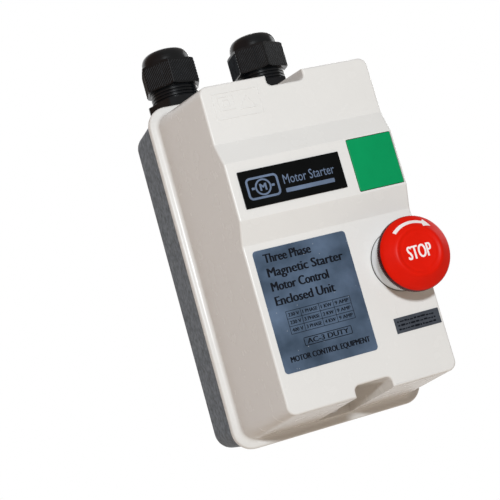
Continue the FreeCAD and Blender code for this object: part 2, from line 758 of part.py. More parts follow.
for side, x in GLAND_X.items():
    nodes["gland_body_" + side] = gland_body(x)
    nodes["gland_seal_" + side] = gland_seal(x)
    nodes["gland_nut_" + side] = gland_nut(side)
nodes["gland_locknuts"] = gland_locknuts()
nodes["gland_washers"] = gland_washers()


# --- mounting plate ---------------------------------------------------------
PLATE_BACK = POST_TOP
PLATE_FRONT = POST_TOP - 2.0
M_PLATE_HALF_W = 52.0
M_PLATE_HALF_H = 80.0


def plate_screws():
    screws = []
    for sx in (1, -1):
        for sz in (1, -1):
            screws.append(screw_y(sx * POST_X, sz * POST_Z, 3.5, 2.2, PILOT_R, PLATE_FRONT, -1.5))
    return group(screws)


def mounting_plate():
    plate = rounded_prism(M_PLATE_HALF_W, M_PLATE_HALF_H, 4, PLATE_FRONT, PLATE_BACK)
    holes = []
    for sx in (1, -1):
        for sz in (1, -1):
            holes.append(cyl_y(sx * POST_X, sz * POST_Z, PILOT_R, PLATE_FRONT - 1, PLATE_BACK + 1))
    return minus(plate, holes)


nodes["mounting_plate"] = mounting_plate()
nodes["plate_screws"] = plate_screws()


# --- contactor --------------------------------------------------------------
C_MID_X = -16.0
C_HALF_W = 23.0          # half width of the contactor body
C_X = (C_MID_X - C_HALF_W, C_MID_X + C_HALF_W)
C_Z = (4.0, 78.0)
C_MID_Z = 41.0
C_BASE_FRONT = -60.0
C_FRONT = -92.0
POLE_X = [C_MID_X - 14.0, C_MID_X, C_MID_X + 14.0]
STRIP_T = 1.6
ARM_TRAVEL = 6.0
CORE_FACE = -40.0
LEG_W = 6.0
STACK = 9.0              # half the lamination stack
CORE_HALF = 18.0
MID_LEG = 5.0
TERMINAL_Z = (9.5, 72.5)
C_WALL = 3.0
BOBBIN_BACK = -20.0
BOBBIN_T = 1.5           # thickness of the bobbin's end flanges
BOBBIN_HALF_Z = 17.5
WINDING_HALF_Z = 17.0
SHANK_R = 1.8            # terminal screws
HEAD_R = 3.4
HEAD_H = 2.6
SHANK_LONG = 8.0
STRIP_HALF_W = 3.5
CONTACT_OUT = 20.0       # the contact tips, from the middle of the contactor
CONTACT_R = 2.2
BRIDGE_HALF_W = 3.0
BRIDGE_HALF_LONG = 23.0
STRIP_INNER = 17.5       # where the fixed strips end, from the middle


def e_core(yoke_back, yoke_front, leg_end):
    """An E-shaped laminated core: a yoke and three legs."""
    z0 = C_MID_Z - STACK
    z1 = C_MID_Z + STACK
    x0 = C_MID_X - CORE_HALF
    x1 = C_MID_X + CORE_HALF
    yoke = box(x0, x1, yoke_back, yoke_front, z0, z1)
    legs = [
        box(x0, x0 + LEG_W, yoke_back, leg_end, z0, z1),
        box(x1 - LEG_W, x1, yoke_back, leg_end, z0, z1),
        box(C_MID_X - MID_LEG, C_MID_X + MID_LEG, yoke_back, leg_end, z0, z1),
    ]
    return union([yoke] + legs)


def bobbin_ring(half_x, half_z, inner_x, inner_z, y0, y1):
    """A rectangular ring round the core's middle leg."""
    outer = rounded_prism(half_x, half_z, 2.0, y0, y1, C_MID_X, C_MID_Z)
    inner = rounded_prism(inner_x, inner_z, 0.5, y0 - 1, y1 + 1, C_MID_X, C_MID_Z)
    return outer.cut(inner)


def coil_bobbin():
    hole_x = MID_LEG + 0.3
    hole_z = STACK + 0.3
    side_x = CORE_HALF - LEG_W - 0.3
    back = bobbin_ring(side_x, BOBBIN_HALF_Z, hole_x, hole_z, BOBBIN_BACK - BOBBIN_T, BOBBIN_BACK)
    front = bobbin_ring(side_x, BOBBIN_HALF_Z, hole_x, hole_z, CORE_FACE, CORE_FACE + BOBBIN_T)
    tube = bobbin_ring(hole_x + 1.2, hole_z + 1.2, hole_x, hole_z, CORE_FACE, BOBBIN_BACK)
    return union([back, tube, front])


def coil_winding():
    y0 = CORE_FACE + BOBBIN_T
    y1 = BOBBIN_BACK - BOBBIN_T
    outer = rounded_prism(CORE_HALF - LEG_W - 0.8, WINDING_HALF_Z, 4.0, y0, y1, C_MID_X, C_MID_Z)
    tube = rounded_prism(MID_LEG + 1.5, STACK + 1.5, 2.0, CORE_FACE, BOBBIN_BACK, C_MID_X, C_MID_Z)
    return outer.cut(tube)


SPRING_SPOTS = ((C_MID_X - 15.5, C_MID_Z - 19.5), (C_MID_X + 15.5, C_MID_Z + 19.5))
RETURN_SPRING_R = 2.6
CAVITY_HALF_X = 19.6
CAVITY_HALF_Z = 24.5
CAVITY_BACK = -12.0      # the fixed core rests on this floor
CARRIER_FOOT = -57.6
CARRIER_HALF_Z = 5.0
CARRIER_FRONT = -84.0
BAR_Y = (-70.5, -68.5)    # the moving bridges
TIP_T = 0.8


def terminal_shanks(y0, y1):
    """The screw shank spaces of the six main terminals."""
    return [cyl_y(x, z, SHANK_R, y0, y1) for x in POLE_X for z in TERMINAL_Z]


def contactor_base():
    body = box(C_X[0], C_X[1], C_BASE_FRONT, PLATE_FRONT, C_Z[0], C_Z[1])
    cavity = rounded_prism(
        CAVITY_HALF_X, CAVITY_HALF_Z, 1.5, C_BASE_FRONT - 1, CAVITY_BACK, C_MID_X, C_MID_Z
    )
    cutters = [cavity]
    for z in (C_Z[0], C_Z[1]):
        cutters.append(box(C_X[0] - 1, C_X[1] + 1, -26, -18, z - 1.5, z + 1.5))
    return minus(body, cutters + terminal_shanks(C_BASE_FRONT - 1, C_BASE_FRONT + SHANK_LONG + 1))


def contact_carrier():
    foot = rounded_prism(
        CAVITY_HALF_X - 0.6, CAVITY_HALF_Z - 0.6, 1.5, CARRIER_FOOT - 2, CARRIER_FOOT, C_MID_X, C_MID_Z
    )
    beam = box(
        C_MID_X - 18.5, C_MID_X + 18.5, CARRIER_FRONT, CARRIER_FOOT - 2,
        C_MID_Z - CARRIER_HALF_Z, C_MID_Z + CARRIER_HALF_Z
    )
    nose = box(C_MID_X - 4.5, C_MID_X + 4.5, C_FRONT - 0.6, CARRIER_FRONT, C_MID_Z - 2.5, C_MID_Z + 2.5)
    windows = []
    for x in POLE_X:
        windows.append(box(x - BRIDGE_HALF_W, x + BRIDGE_HALF_W, *BAR_Y, C_MID_Z - 10, C_MID_Z + 10))
    return minus(union([foot, beam, nose]), windows)


def moving_contacts():
    bars = []
    for x in POLE_X:
        z_span = (C_MID_Z - BRIDGE_HALF_LONG, C_MID_Z + BRIDGE_HALF_LONG)
        bar = box(x - BRIDGE_HALF_W, x + BRIDGE_HALF_W, *BAR_Y, *z_span)
        tips = []
        for sign in (1, -1):
            tips.append(cyl_y(x, C_MID_Z + sign * CONTACT_OUT, CONTACT_R, BAR_Y[1], BAR_Y[1] + TIP_T))
        bars.append(union([bar] + tips))
    return group(bars)


def fixed_contacts():
    strips = []
    front = C_BASE_FRONT - STRIP_T
    for x in POLE_X:
        for sign, z_out, z_screw in ((-1, C_Z[0], TERMINAL_Z[0]), (1, C_Z[1], TERMINAL_Z[1])):
            z_in = C_MID_Z + sign * STRIP_INNER
            strip = box(x - STRIP_HALF_W, x + STRIP_HALF_W, front, C_BASE_FRONT, z_out, z_in)
            pad = cyl_y(x, C_MID_Z + sign * CONTACT_OUT, CONTACT_R, front, front + 0.4)
            spot = cyl_y(x, z_screw, SHANK_R, front - 1, C_BASE_FRONT + 1)
            strips.append(minus(union([strip, pad]), [spot]))
    return group(strips)


def contactor_screws():
    front = C_BASE_FRONT - STRIP_T
    screws = []
    for x in POLE_X:
        for z in TERMINAL_Z:
            screws.append(screw_y(x, z, HEAD_R, HEAD_H, SHANK_R, front, C_BASE_FRONT + SHANK_LONG))
    return group(screws)


def contactor_cover():
    back = C_BASE_FRONT - STRIP_T
    z0 = C_Z[0] + 10
    z1 = C_Z[1] - 10
    body = box(C_X[0], C_X[1], C_FRONT, back, z0, z1)
    body = body.makeChamfer(1.2, front_edges(body))
    hollow = box(C_X[0] + C_WALL, C_X[1] - C_WALL, C_FRONT + C_WALL, back + 1, z0 + C_WALL, z1 - C_WALL)
    window = box(C_MID_X - 5, C_MID_X + 5, C_FRONT - 1, C_FRONT + C_WALL + 1, C_MID_Z - 3, C_MID_Z + 3)
    slots = []
    for x in (C_MID_X - 7, C_MID_X + 7):
        slots.append(box(x - 0.6, x + 0.6, C_FRONT - 1, C_FRONT + 1.2, z0 - 1, z1 + 1))
    return minus(body, [hollow, window] + slots)


def return_springs():
    springs = []
    for x, z in SPRING_SPOTS:
        springs.append(spring_y(x, z, RETURN_SPRING_R, 0.4, CARRIER_FOOT, CAVITY_BACK, 11))
    return group(springs)


nodes["contactor_base"] = contactor_base()
nodes["magnet_core"] = e_core(CAVITY_BACK, CAVITY_BACK - LEG_W, CORE_FACE)
nodes["coil_bobbin"] = coil_bobbin()
nodes["coil_winding"] = coil_winding()
nodes["armature"] = e_core(CARRIER_FOOT, CARRIER_FOOT + 5.0, CORE_FACE - ARM_TRAVEL - 0.3)
nodes["contact_carrier"] = contact_carrier()
nodes["moving_contacts"] = moving_contacts()
nodes["return_springs"] = return_springs()
nodes["fixed_contacts"] = fixed_contacts()
nodes["contactor_screws"] = contactor_screws()
nodes["contactor_cover"] = contactor_cover()


# --- overload relay ---------------------------------------------------------
O_X = (C_X[0] + 1, C_X[1] - 1)
O_Z = (-74.0, -6.0)
O_FRONT = -66.0
O_STEP_Z = -58.0
O_STEP_Y = -50.0
DIAL_X = C_MID_X - 10
DIAL_Z = -28.0
DIAL_R = 6.5
RESET_X = C_MID_X + 12
RESET_Z = -28.0
RESET_R = 4.5
RESET_OUT = 5.0
RESET_DEEP = 16.0
DIAL_SHAFT_R = 3.04
LINK_LAP = 4.0           # how far the links reach into the relay
O_SCREW_Z = O_STEP_Z - 8.0


def overload_housing():
    body = box(O_X[0], O_X[1], O_FRONT, PLATE_FRONT, O_Z[0], O_Z[1])
    step = box(O_X[0] - 1, O_X[1] + 1, O_FRONT - 1, O_STEP_Y, O_Z[0] - 1, O_STEP_Z)
    cutters = [
        step,
        cyl_y(DIAL_X, DIAL_Z, DIAL_SHAFT_R + 0.06, O_FRONT - 1, O_FRONT + 7),
        cyl_y(RESET_X, RESET_Z, RESET_R + 0.3, O_FRONT - 1, O_FRONT + RESET_DEEP),
    ]
    for x in POLE_X:
        lap = (O_Z[1] - LINK_LAP, O_Z[1] + 1)
        cutters.append(box(x - STRIP_HALF_W, x + STRIP_HALF_W, C_BASE_FRONT - STRIP_T, C_BASE_FRONT, *lap))
        cutters.append(cyl_y(x, O_SCREW_Z, SHANK_R, O_STEP_Y - 1, O_STEP_Y + SHANK_LONG))
    for index in range(6):
        z = O_Z[1] - 30 - 3 * index
        cutters.append(box(O_X[0] - 1, O_X[0] + 0.8, -56, -14, z, z + 1.2))
    return minus(body, cutters)


def overload_links():
    links = []
    for x in POLE_X:
        z_span = (O_Z[1] - LINK_LAP, C_Z[0])
        links.append(box(x - STRIP_HALF_W, x + STRIP_HALF_W, C_BASE_FRONT - STRIP_T, C_BASE_FRONT, *z_span))
    return group(links)


def overload_screws():
    tip = O_STEP_Y + SHANK_LONG
    return group([screw_y(x, O_SCREW_Z, HEAD_R, HEAD_H, SHANK_R, O_STEP_Y, tip) for x in POLE_X])


def current_dial():
    disc = cyl_y(DIAL_X, DIAL_Z, DIAL_R, O_FRONT - 3.3, O_FRONT - 0.3)
    disc = disc.makeChamfer(0.5, front_edges(disc))
    shaft = cyl_y(DIAL_X, DIAL_Z, DIAL_SHAFT_R, O_FRONT - 0.3, O_FRONT + 6)
    slot = box(DIAL_X - 0.6, DIAL_X + 0.6, O_FRONT - 4, O_FRONT - 2, DIAL_Z - 5, DIAL_Z + 5)
    return union([disc, shaft]).cut(slot)


def reset_button():
    button = cyl_y(RESET_X, RESET_Z, RESET_R, O_FRONT - RESET_OUT, O_FRONT + 8)
    return button.makeChamfer(0.6, front_edges(button))


nodes["overload_housing"] = overload_housing()
nodes["overload_links"] = overload_links()
nodes["overload_screws"] = overload_screws()
nodes["current_dial"] = current_dial()
nodes["reset_button"] = reset_button()
nodes["reset_spring"] = spring_y(RESET_X, RESET_Z, 3.2, 0.4, O_FRONT + 8, O_FRONT + RESET_DEEP, 5)


# --- radio receiver ---------------------------------------------------------
R_X = (16.0, 50.0)
R_Z = (-58.0, 24.0)
R_FRONT = -20.0
BOARD_Y = -14.0
BOARD_T = 1.6
RELAY_X = (24.0, 40.0)
RELAY_Z = (-46.0, -30.0)
TERM_X = (18.5, 47.5)
TERM_Z = (9.0, 20.0)
TERM_FIRST = 3.3         # first of the five terminals, and the step between them
TERM_STEP = 5.6
TRAY_WALL = 1.6
BOARD_IN = 1.8
POST_IN = 4.0


def receiver_housing():
    tray = box(R_X[0], R_X[1], R_FRONT, PLATE_FRONT, R_Z[0], R_Z[1])
    x_span = (R_X[0] + TRAY_WALL, R_X[1] - TRAY_WALL)
    z_span = (R_Z[0] + TRAY_WALL, R_Z[1] - TRAY_WALL)
    hollow = box(*x_span, R_FRONT - 1, PLATE_FRONT - 2, *z_span)
    return tray.cut(hollow)


def receiver_posts():
    """Four posts that carry the circuit board."""
    posts = []
    for x in (R_X[0] + POST_IN, R_X[1] - POST_IN):
        for z in (R_Z[0] + POST_IN, R_Z[1] - POST_IN):
            posts.append(cyl_y(x, z, 2.2, BOARD_Y, PLATE_FRONT - 1))
    return posts


def receiver_board():
    y0 = BOARD_Y - BOARD_T
    board = box(R_X[0] + BOARD_IN, R_X[1] - BOARD_IN, y0, BOARD_Y, R_Z[0] + BOARD_IN, R_Z[1] - BOARD_IN)
    chips = [
        box(22, 32, y0 - 1.8, y0, -22, -12),
        box(36, 42, y0 - 2.5, y0, -20, -14),
        cyl_y(43, -2, 2.5, y0 - 6, y0),
    ]
    return union([board] + chips)


def receiver_terminals():
    y1 = BOARD_Y - BOARD_T
    body = box(TERM_X[0], TERM_X[1], y1 - 11, y1, TERM_Z[0], TERM_Z[1])
    wells = []
    for index in range(5):
        x = TERM_X[0] + TERM_FIRST + TERM_STEP * index
        wells.append(cyl_y(x, TERM_Z[0] + 4.5, 1.9, y1 - 12, y1 - 8))
    return minus(body, wells)


def receiver_antenna():
    y = BOARD_Y - BOARD_T - 1.0
    return group([cyl_z(46.5, y, 0.8, R_Z[0] + 4, R_Z[0] + 50)])


nodes["receiver_housing"] = union([receiver_housing()] + receiver_posts())
nodes["receiver_board"] = receiver_board()
nodes["receiver_relay"] = box(RELAY_X[0], RELAY_X[1], BOARD_Y - BOARD_T - 14, BOARD_Y - BOARD_T, *RELAY_Z)
nodes["receiver_terminals"] = receiver_terminals()
nodes["receiver_antenna"] = receiver_antenna()


# --- earth bar and wiring ---------------------------------------------------
E_X = (17.0, 49.0)
E_Z = (42.0, 50.0)
E_FRONT = PLATE_FRONT - 5.0
E_FIRST = 5.0            # first of the earth screws, and the step between them
E_STEP = 7.3
WIRE_R = 1.2
WIRE_BEND = 6.0
WIRE_OUT = 6.0           # first wire, in front of the board
WIRE_OUT_STEP = 2.0
WIRE_TOP = 30.0          # height at which the first wire turns
WIRE_TOP_STEP = 3.2


def earth_spots():
    return [E_X[0] + E_FIRST + E_STEP * index for index in range(4)]


def earth_bar():
    bar = box(E_X[0], E_X[1], E_FRONT, PLATE_FRONT, E_Z[0], E_Z[1])
    mid = sum(E_Z) / 2
    holes = []
    for x in earth_spots():
        holes.append(cyl_y(x, mid, 1.5, E_FRONT - 1, E_FRONT + 4))
    return minus(bar, holes)


def earth_screws():
    mid = sum(E_Z) / 2
    return group([screw_y(x, mid, 2.8, 1.8, 1.5, E_FRONT, E_FRONT + 3.5) for x in earth_spots()])


def wire(index):
    """A control wire from the receiver's terminals up and across to the coil."""
    x = TERM_X[0] + TERM_FIRST + TERM_STEP * index
    y = BOARD_Y - BOARD_T - WIRE_OUT - WIRE_OUT_STEP * index
    top = WIRE_TOP + WIRE_TOP_STEP * index
    bend = WIRE_BEND
    side = C_X[1]
    lower = Part.LineSegment(V(x, y, TERM_Z[1]), V(x, y, top - bend)).toShape()
    knee = bend * math.sin(math.radians(45))
    centre_x = x - bend
    centre_z = top - bend
    arc = Part.Arc(
        V(x, y, top - bend), V(centre_x + knee, y, centre_z + knee), V(centre_x, y, top)
    ).toShape()
    upper = Part.LineSegment(V(centre_x, y, top), V(side, y, top)).toShape()
    path = Part.Wire([lower, arc, upper])
    profile = Part.Wire(Part.makeCircle(WIRE_R, V(x, y, TERM_Z[1]), V(0, 0, 1)))
    return path.makePipeShell([profile], True, False)


nodes["earth_bar"] = earth_bar()
nodes["earth_screws"] = earth_screws()
nodes["control_wires"] = group([wire(index) for index in range(3)])


# --- export -----------------------------------------------------------------
os.makedirs("parts", exist_ok=True)
for name, shape in nodes.items():
    if not shape.isValid():
        print("invalid shape:", name)
    print(name, len(shape.Solids), round(shape.Volume, 1))
    shape.exportStep("parts/" + name + ".step")
print(len(nodes), "nodes")
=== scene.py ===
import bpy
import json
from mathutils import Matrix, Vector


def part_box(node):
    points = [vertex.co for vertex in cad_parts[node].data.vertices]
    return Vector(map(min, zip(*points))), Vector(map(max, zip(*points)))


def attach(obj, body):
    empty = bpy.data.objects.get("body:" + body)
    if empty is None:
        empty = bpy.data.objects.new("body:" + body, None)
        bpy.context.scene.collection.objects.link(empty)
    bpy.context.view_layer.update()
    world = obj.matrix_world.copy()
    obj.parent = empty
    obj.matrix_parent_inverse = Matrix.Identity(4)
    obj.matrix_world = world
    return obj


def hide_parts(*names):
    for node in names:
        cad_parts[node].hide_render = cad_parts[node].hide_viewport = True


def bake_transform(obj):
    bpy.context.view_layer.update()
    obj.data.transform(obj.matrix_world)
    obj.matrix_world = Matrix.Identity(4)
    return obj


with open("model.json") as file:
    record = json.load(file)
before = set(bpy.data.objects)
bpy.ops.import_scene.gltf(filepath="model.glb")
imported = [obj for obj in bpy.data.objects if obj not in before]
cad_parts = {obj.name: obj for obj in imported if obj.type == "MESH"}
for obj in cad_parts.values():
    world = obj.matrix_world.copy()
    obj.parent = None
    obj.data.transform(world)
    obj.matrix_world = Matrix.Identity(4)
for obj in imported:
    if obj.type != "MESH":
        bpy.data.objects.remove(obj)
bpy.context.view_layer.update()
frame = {"nodes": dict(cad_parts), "record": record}

import json
import math
import random

import bpy
from mathutils import Matrix, Vector

# Lengths are metres. +Z is up, the front faces -Y and the origin is the centre of the flat back.
MM = 0.001
NODES = frame["nodes"]
random.seed(7)


# --- camera -------------------------------------------------------------------
CAMERA_AT = (-0.2340, -0.6896, -0.0722)
CAMERA_LENS = 81.1       # millimetres, like the sensor's width
CAMERA_SENSOR = 36.0
CAMERA_NEAR = 0.01
CAMERA_YAW = math.radians(-18.45)
CAMERA_PITCH = math.radians(-6.85)
CAMERA_ROLL = math.radians(-15.65)


def add_camera():
    """The camera looks at the front from the left and a little below, rolled to one side."""
    data = bpy.data.cameras.new("camera")
    data.lens = CAMERA_LENS
    data.sensor_width = CAMERA_SENSOR
    data.clip_start = CAMERA_NEAR
    camera = bpy.data.objects.new("camera", data)
    bpy.context.scene.collection.objects.link(camera)
    roll = Matrix.Rotation(CAMERA_ROLL, 3, "Z")
    pitch = Matrix.Rotation(CAMERA_PITCH, 3, "X")
    yaw = Matrix.Rotation(CAMERA_YAW, 3, "Y")
    axes = Matrix(((1, 0, 0), (0, 0, -1), (0, 1, 0)))
    right, down, ahead = roll @ pitch @ yaw @ axes
    turn = Matrix((right, -down, -ahead)).transposed()
    camera.matrix_world = Matrix.Translation(CAMERA_AT) @ turn.to_4x4()
    bpy.context.scene.camera = camera


# --- studio -------------------------------------------------------------------
SKY_SIDE = (0.30, 0.280, 0.262, 1)      # light from around the object
SKY_LOW = (0.42, 0.285, 0.165, 1)       # warmer from below
SKY_LEFT = (0.235, 0.143, 0.095, 1)     # dimmer and warmer from the left
SKY_BACK = (1, 1, 1, 1)                 # white from behind
SKY_SEEN = (1, 1, 1, 1)                 # the plain backdrop, whichever way one looks

# Where one colour turns into the next, as a part of the direction: to the right, up and back.
SKY_LEFT_BAND = (-0.75, 0.0)
SKY_LOW_BAND = (-0.55, 0.05)
SKY_BACK_BAND = (0.50, 0.80)

# name, place, diameter, watts and colour of each lamp
LAMPS = (
    ("key", (-0.32, -1.20, 0.17), 0.10, 10.6, (0.90, 0.96, 1.0)),
    ("fill_right", (1.25, 0.35, 0.5), 0.8, 3.0, (0.95, 0.98, 1.0)),
    ("back", (0.75, 1.30, 0.45), 0.8, 7.0, (1.0, 0.99, 0.97)),
)
LAMP_TARGET = (0.0, -0.08, 0.0)

FLOOR_Z = -0.9
FLOOR_HALF = 1.6
FLOOR_COLOUR = (0.84, 0.76, 0.67)
FLOOR_ROUGH = 0.8


def add_lamp(name, at, size, watts, colour):
    """A round soft lamp turned to the object."""
    data = bpy.data.lights.new(name, "AREA")
    data.shape = "DISK"
    data.size = size
    data.energy = watts
    data.color = colour
    lamp = bpy.data.objects.new(name, data)
    lamp.location = at
    lamp.rotation_euler = (Vector(LAMP_TARGET) - Vector(at)).to_track_quat("-Z", "Y").to_euler()
    bpy.context.scene.collection.objects.link(lamp)


def colour_mix(tree, a=None, b=None):
    """A node that mixes two colours by its factor."""
    mix = tree.nodes.new("ShaderNodeMix")
    mix.data_type = "RGBA"
    if a:
        mix.inputs["A"].default_value = a
    if b:
        mix.inputs["B"].default_value = b
    return mix


def add_world():
    """A white backdrop for the camera, and dimmer and warmer surroundings that light the object."""
    world = bpy.data.worlds.new("studio")
    bpy.context.scene.world = world
    world.use_nodes = True
    tree = world.node_tree
    direction = tree.nodes.new("ShaderNodeTexCoord")
    split = tree.nodes.new("ShaderNodeSeparateXYZ")
    tree.links.new(direction.outputs["Generated"], split.inputs[0])
    sides = colour_mix(tree, a=SKY_LEFT, b=SKY_SIDE)
    around = colour_mix(tree, a=SKY_LOW)
    behind = colour_mix(tree, b=SKY_BACK)
    backdrop = colour_mix(tree, b=SKY_SEEN)
    for axis, (start, end), mix in (("X", SKY_LEFT_BAND, sides), ("Z", SKY_LOW_BAND, around),
                                    ("Y", SKY_BACK_BAND, behind)):
        band = tree.nodes.new("ShaderNodeMapRange")
        band.interpolation_type = "SMOOTHSTEP"
        band.inputs["From Min"].default_value = start
        band.inputs["From Max"].default_value = end
        tree.links.new(split.outputs[axis], band.inputs["Value"])
        tree.links.new(band.outputs["Result"], mix.inputs["Factor"])
    path = tree.nodes.new("ShaderNodeLightPath")
    tree.links.new(path.outputs["Is Camera Ray"], backdrop.inputs["Factor"])
    tree.links.new(sides.outputs["Result"], around.inputs["B"])
    tree.links.new(around.outputs["Result"], behind.inputs["A"])
    tree.links.new(behind.outputs["Result"], backdrop.inputs["A"])
    tree.links.new(backdrop.outputs["Result"], tree.nodes["Background"].inputs["Color"])


def add_floor():
    """A sheet of paper far below, outside the main view."""
    mesh = bpy.data.meshes.new("floor")
    half = FLOOR_HALF
    corners = [(-half, -half, FLOOR_Z), (half, -half, FLOOR_Z), (half, half, FLOOR_Z), (-half, half, FLOOR_Z)]
    mesh.from_pydata(corners, [], [(0, 1, 2, 3)])
    floor = bpy.data.objects.new("floor", mesh)
    bpy.context.scene.collection.objects.link(floor)
    mesh.materials.append(surface("floor_paper", FLOOR_COLOUR, FLOOR_ROUGH, spread=0.02, cell=30))


def add_studio():
    """The surroundings, three lamps and the floor."""
    bpy.context.scene.view_settings.view_transform = "Standard"
    add_world()
    for name, at, size, watts, colour in LAMPS:
        add_lamp(name, at, size, watts, colour)
    add_floor()


# --- materials ----------------------------------------------------------------
MATERIALS = {}
TONE_DETAIL = 4.0        # octaves of each noise: colour, gloss and relief
GLOSS_DETAIL = 3.0
RELIEF_DETAIL = 2.0
GLOSS_CELL = 2.3         # how much finer than the colour the gloss varies
WAVE_CELL = 0.5          # and how much coarser slow unevenness is
WAVE_HEIGHT = 0.0006
GRAIN_HEIGHT = 0.00012
BAND_HEIGHT = 0.0003
BAND_WOBBLE = 0.15
LEAST_ROUGH = 0.02
COAT_ROUGH = 0.12
DUST_SCALE = 260         # specks on the labels' foil: cells per metre, and each speck's radius in cells
DUST_RADIUS = (0.035, 0.06)
DUST_COLOUR = (0.5, 0.55, 0.62, 1)


def noise_node(tree, coordinates, scale, detail):
    node = tree.nodes.new("ShaderNodeTexNoise")
    node.inputs["Scale"].default_value = scale
    node.inputs["Detail"].default_value = detail
    tree.links.new(coordinates, node.inputs["Vector"])
    return node


def stretched(tree, coordinates, stretch):
    """Coordinates scaled by a different amount along each axis."""
    node = tree.nodes.new("ShaderNodeMapping")
    node.inputs["Scale"].default_value = stretch
    tree.links.new(coordinates, node.inputs["Vector"])
    return node.outputs["Vector"]


def tinted(colour, share):
    """A colour made lighter or darker by a share, with full alpha."""
    return tuple(min(1.0, c * share) for c in colour[:3]) + (1.0,)


def relief(tree, height, strength, distance):
    """A bump node lifted by a height output."""
    lift = tree.nodes.new("ShaderNodeBump")
    lift.inputs["Strength"].default_value = strength
    lift.inputs["Distance"].default_value = distance
    tree.links.new(height, lift.inputs["Height"])
    return lift


def surface(name, colour, rough, metal=0.0, spread=0.05, cell=120, stretch=(1, 1, 1), second=None,
            rough_spread=0.05, grain=1800, bump=0.0, wave=0.0, coat=0.0, sharp=(0.3, 0.7), specular=0.5):
    """A procedural surface: colour drifts between two tones, gloss varies and a fine grain lifts it.

    cell and grain are noise scales per metre, bump and wave the strengths of the grain and of slow unevenness,
    sharp the noise values where the first tone ends and the second is reached.
    """
    material = bpy.data.materials.new(name)
    material.use_nodes = True
    tree = material.node_tree
    shader = tree.nodes["Principled BSDF"]
    shader.inputs["Metallic"].default_value = metal
    shader.inputs["Specular IOR Level"].default_value = specular
    shader.inputs["Coat Weight"].default_value = coat
    shader.inputs["Coat Roughness"].default_value = COAT_ROUGH
    place = tree.nodes.new("ShaderNodeTexCoord")
    coordinates = stretched(tree, place.outputs["Object"], stretch)
    tone = noise_node(tree, coordinates, cell, TONE_DETAIL)
    ramp = tree.nodes.new("ShaderNodeValToRGB")
    ramp.color_ramp.elements[0].position = sharp[0]
    ramp.color_ramp.elements[1].position = sharp[1]
    ramp.color_ramp.elements[0].color = tinted(colour, 1 - spread)
    ramp.color_ramp.elements[1].color = tinted(second or colour, 1.0 if second else 1 + spread)
    tree.links.new(tone.outputs["Fac"], ramp.inputs["Fac"])
    tree.links.new(ramp.outputs["Color"], shader.inputs["Base Color"])
    gloss = noise_node(tree, coordinates, cell * GLOSS_CELL, GLOSS_DETAIL)
    limits = tree.nodes.new("ShaderNodeMapRange")
    limits.inputs["To Min"].default_value = max(LEAST_ROUGH, rough - rough_spread)
    limits.inputs["To Max"].default_value = rough + rough_spread
    tree.links.new(gloss.outputs["Fac"], limits.inputs["Value"])
    tree.links.new(limits.outputs["Result"], shader.inputs["Roughness"])
    normal = None
    for strength, scale, distance in ((wave, cell * WAVE_CELL, WAVE_HEIGHT), (bump, grain, GRAIN_HEIGHT)):
        if strength:
            height = noise_node(tree, coordinates, scale, RELIEF_DETAIL)
            lift = relief(tree, height.outputs["Fac"], strength, distance)
            if normal:
                tree.links.new(normal, lift.inputs["Normal"])
            normal = lift.outputs["Normal"]
    if normal:
        tree.links.new(normal, shader.inputs["Normal"])
    MATERIALS[name] = material
    return material


def banded(name, colour, second, rough, metal, spacing, axis, bump=0.4):
    """Fine parallel bands, such as stacked sheets or wound wire."""
    material = surface(name, colour, rough, metal=metal, spread=0.08, cell=150, bump=0.15)
    tree = material.node_tree
    shader = tree.nodes["Principled BSDF"]
    place = tree.nodes.new("ShaderNodeTexCoord")
    wave = tree.nodes.new("ShaderNodeTexWave")
    wave.bands_direction = axis
    wave.inputs["Scale"].default_value = math.pi / (10 * spacing)      # at scale 1 bands are pi / 10 apart
    wave.inputs["Distortion"].default_value = BAND_WOBBLE
    tree.links.new(place.outputs["Object"], wave.inputs["Vector"])
    mix = colour_mix(tree, a=tinted(second, 1))
    tree.links.new(wave.outputs["Fac"], mix.inputs["Factor"])
    tree.links.new(shader.inputs["Base Color"].links[0].from_socket, mix.inputs["B"])
    tree.links.new(mix.outputs["Result"], shader.inputs["Base Color"])
    lift = relief(tree, wave.outputs["Fac"], bump, BAND_HEIGHT)
    tree.links.new(shader.inputs["Normal"].links[0].from_socket, lift.inputs["Normal"])
    tree.links.new(lift.outputs["Normal"], shader.inputs["Normal"])


def foil():
    """A printed silver-blue metal foil with cloudy gloss and a few bright dust specks."""
    material = surface("label_foil", (0.052, 0.086, 0.138), 0.34, metal=0.5, cell=48,
                       second=(0.148, 0.218, 0.335), rough_spread=0.10, bump=0.12, grain=2600, wave=0.05,
                       sharp=(0.32, 0.72))
    tree = material.node_tree
    shader = tree.nodes["Principled BSDF"]
    place = tree.nodes.new("ShaderNodeTexCoord")
    dust = tree.nodes.new("ShaderNodeTexVoronoi")
    dust.inputs["Scale"].default_value = DUST_SCALE
    tree.links.new(place.outputs["Object"], dust.inputs["Vector"])
    limit = tree.nodes.new("ShaderNodeMapRange")
    limit.inputs["From Min"].default_value = DUST_RADIUS[0]
    limit.inputs["From Max"].default_value = DUST_RADIUS[1]
    limit.inputs["To Min"].default_value = 1.0
    limit.inputs["To Max"].default_value = 0.0
    tree.links.new(dust.outputs["Distance"], limit.inputs["Value"])
    mix = colour_mix(tree, b=DUST_COLOUR)
    tree.links.new(limit.outputs["Result"], mix.inputs["Factor"])
    tree.links.new(shader.inputs["Base Color"].links[0].from_socket, mix.inputs["A"])
    tree.links.new(mix.outputs["Result"], shader.inputs["Base Color"])


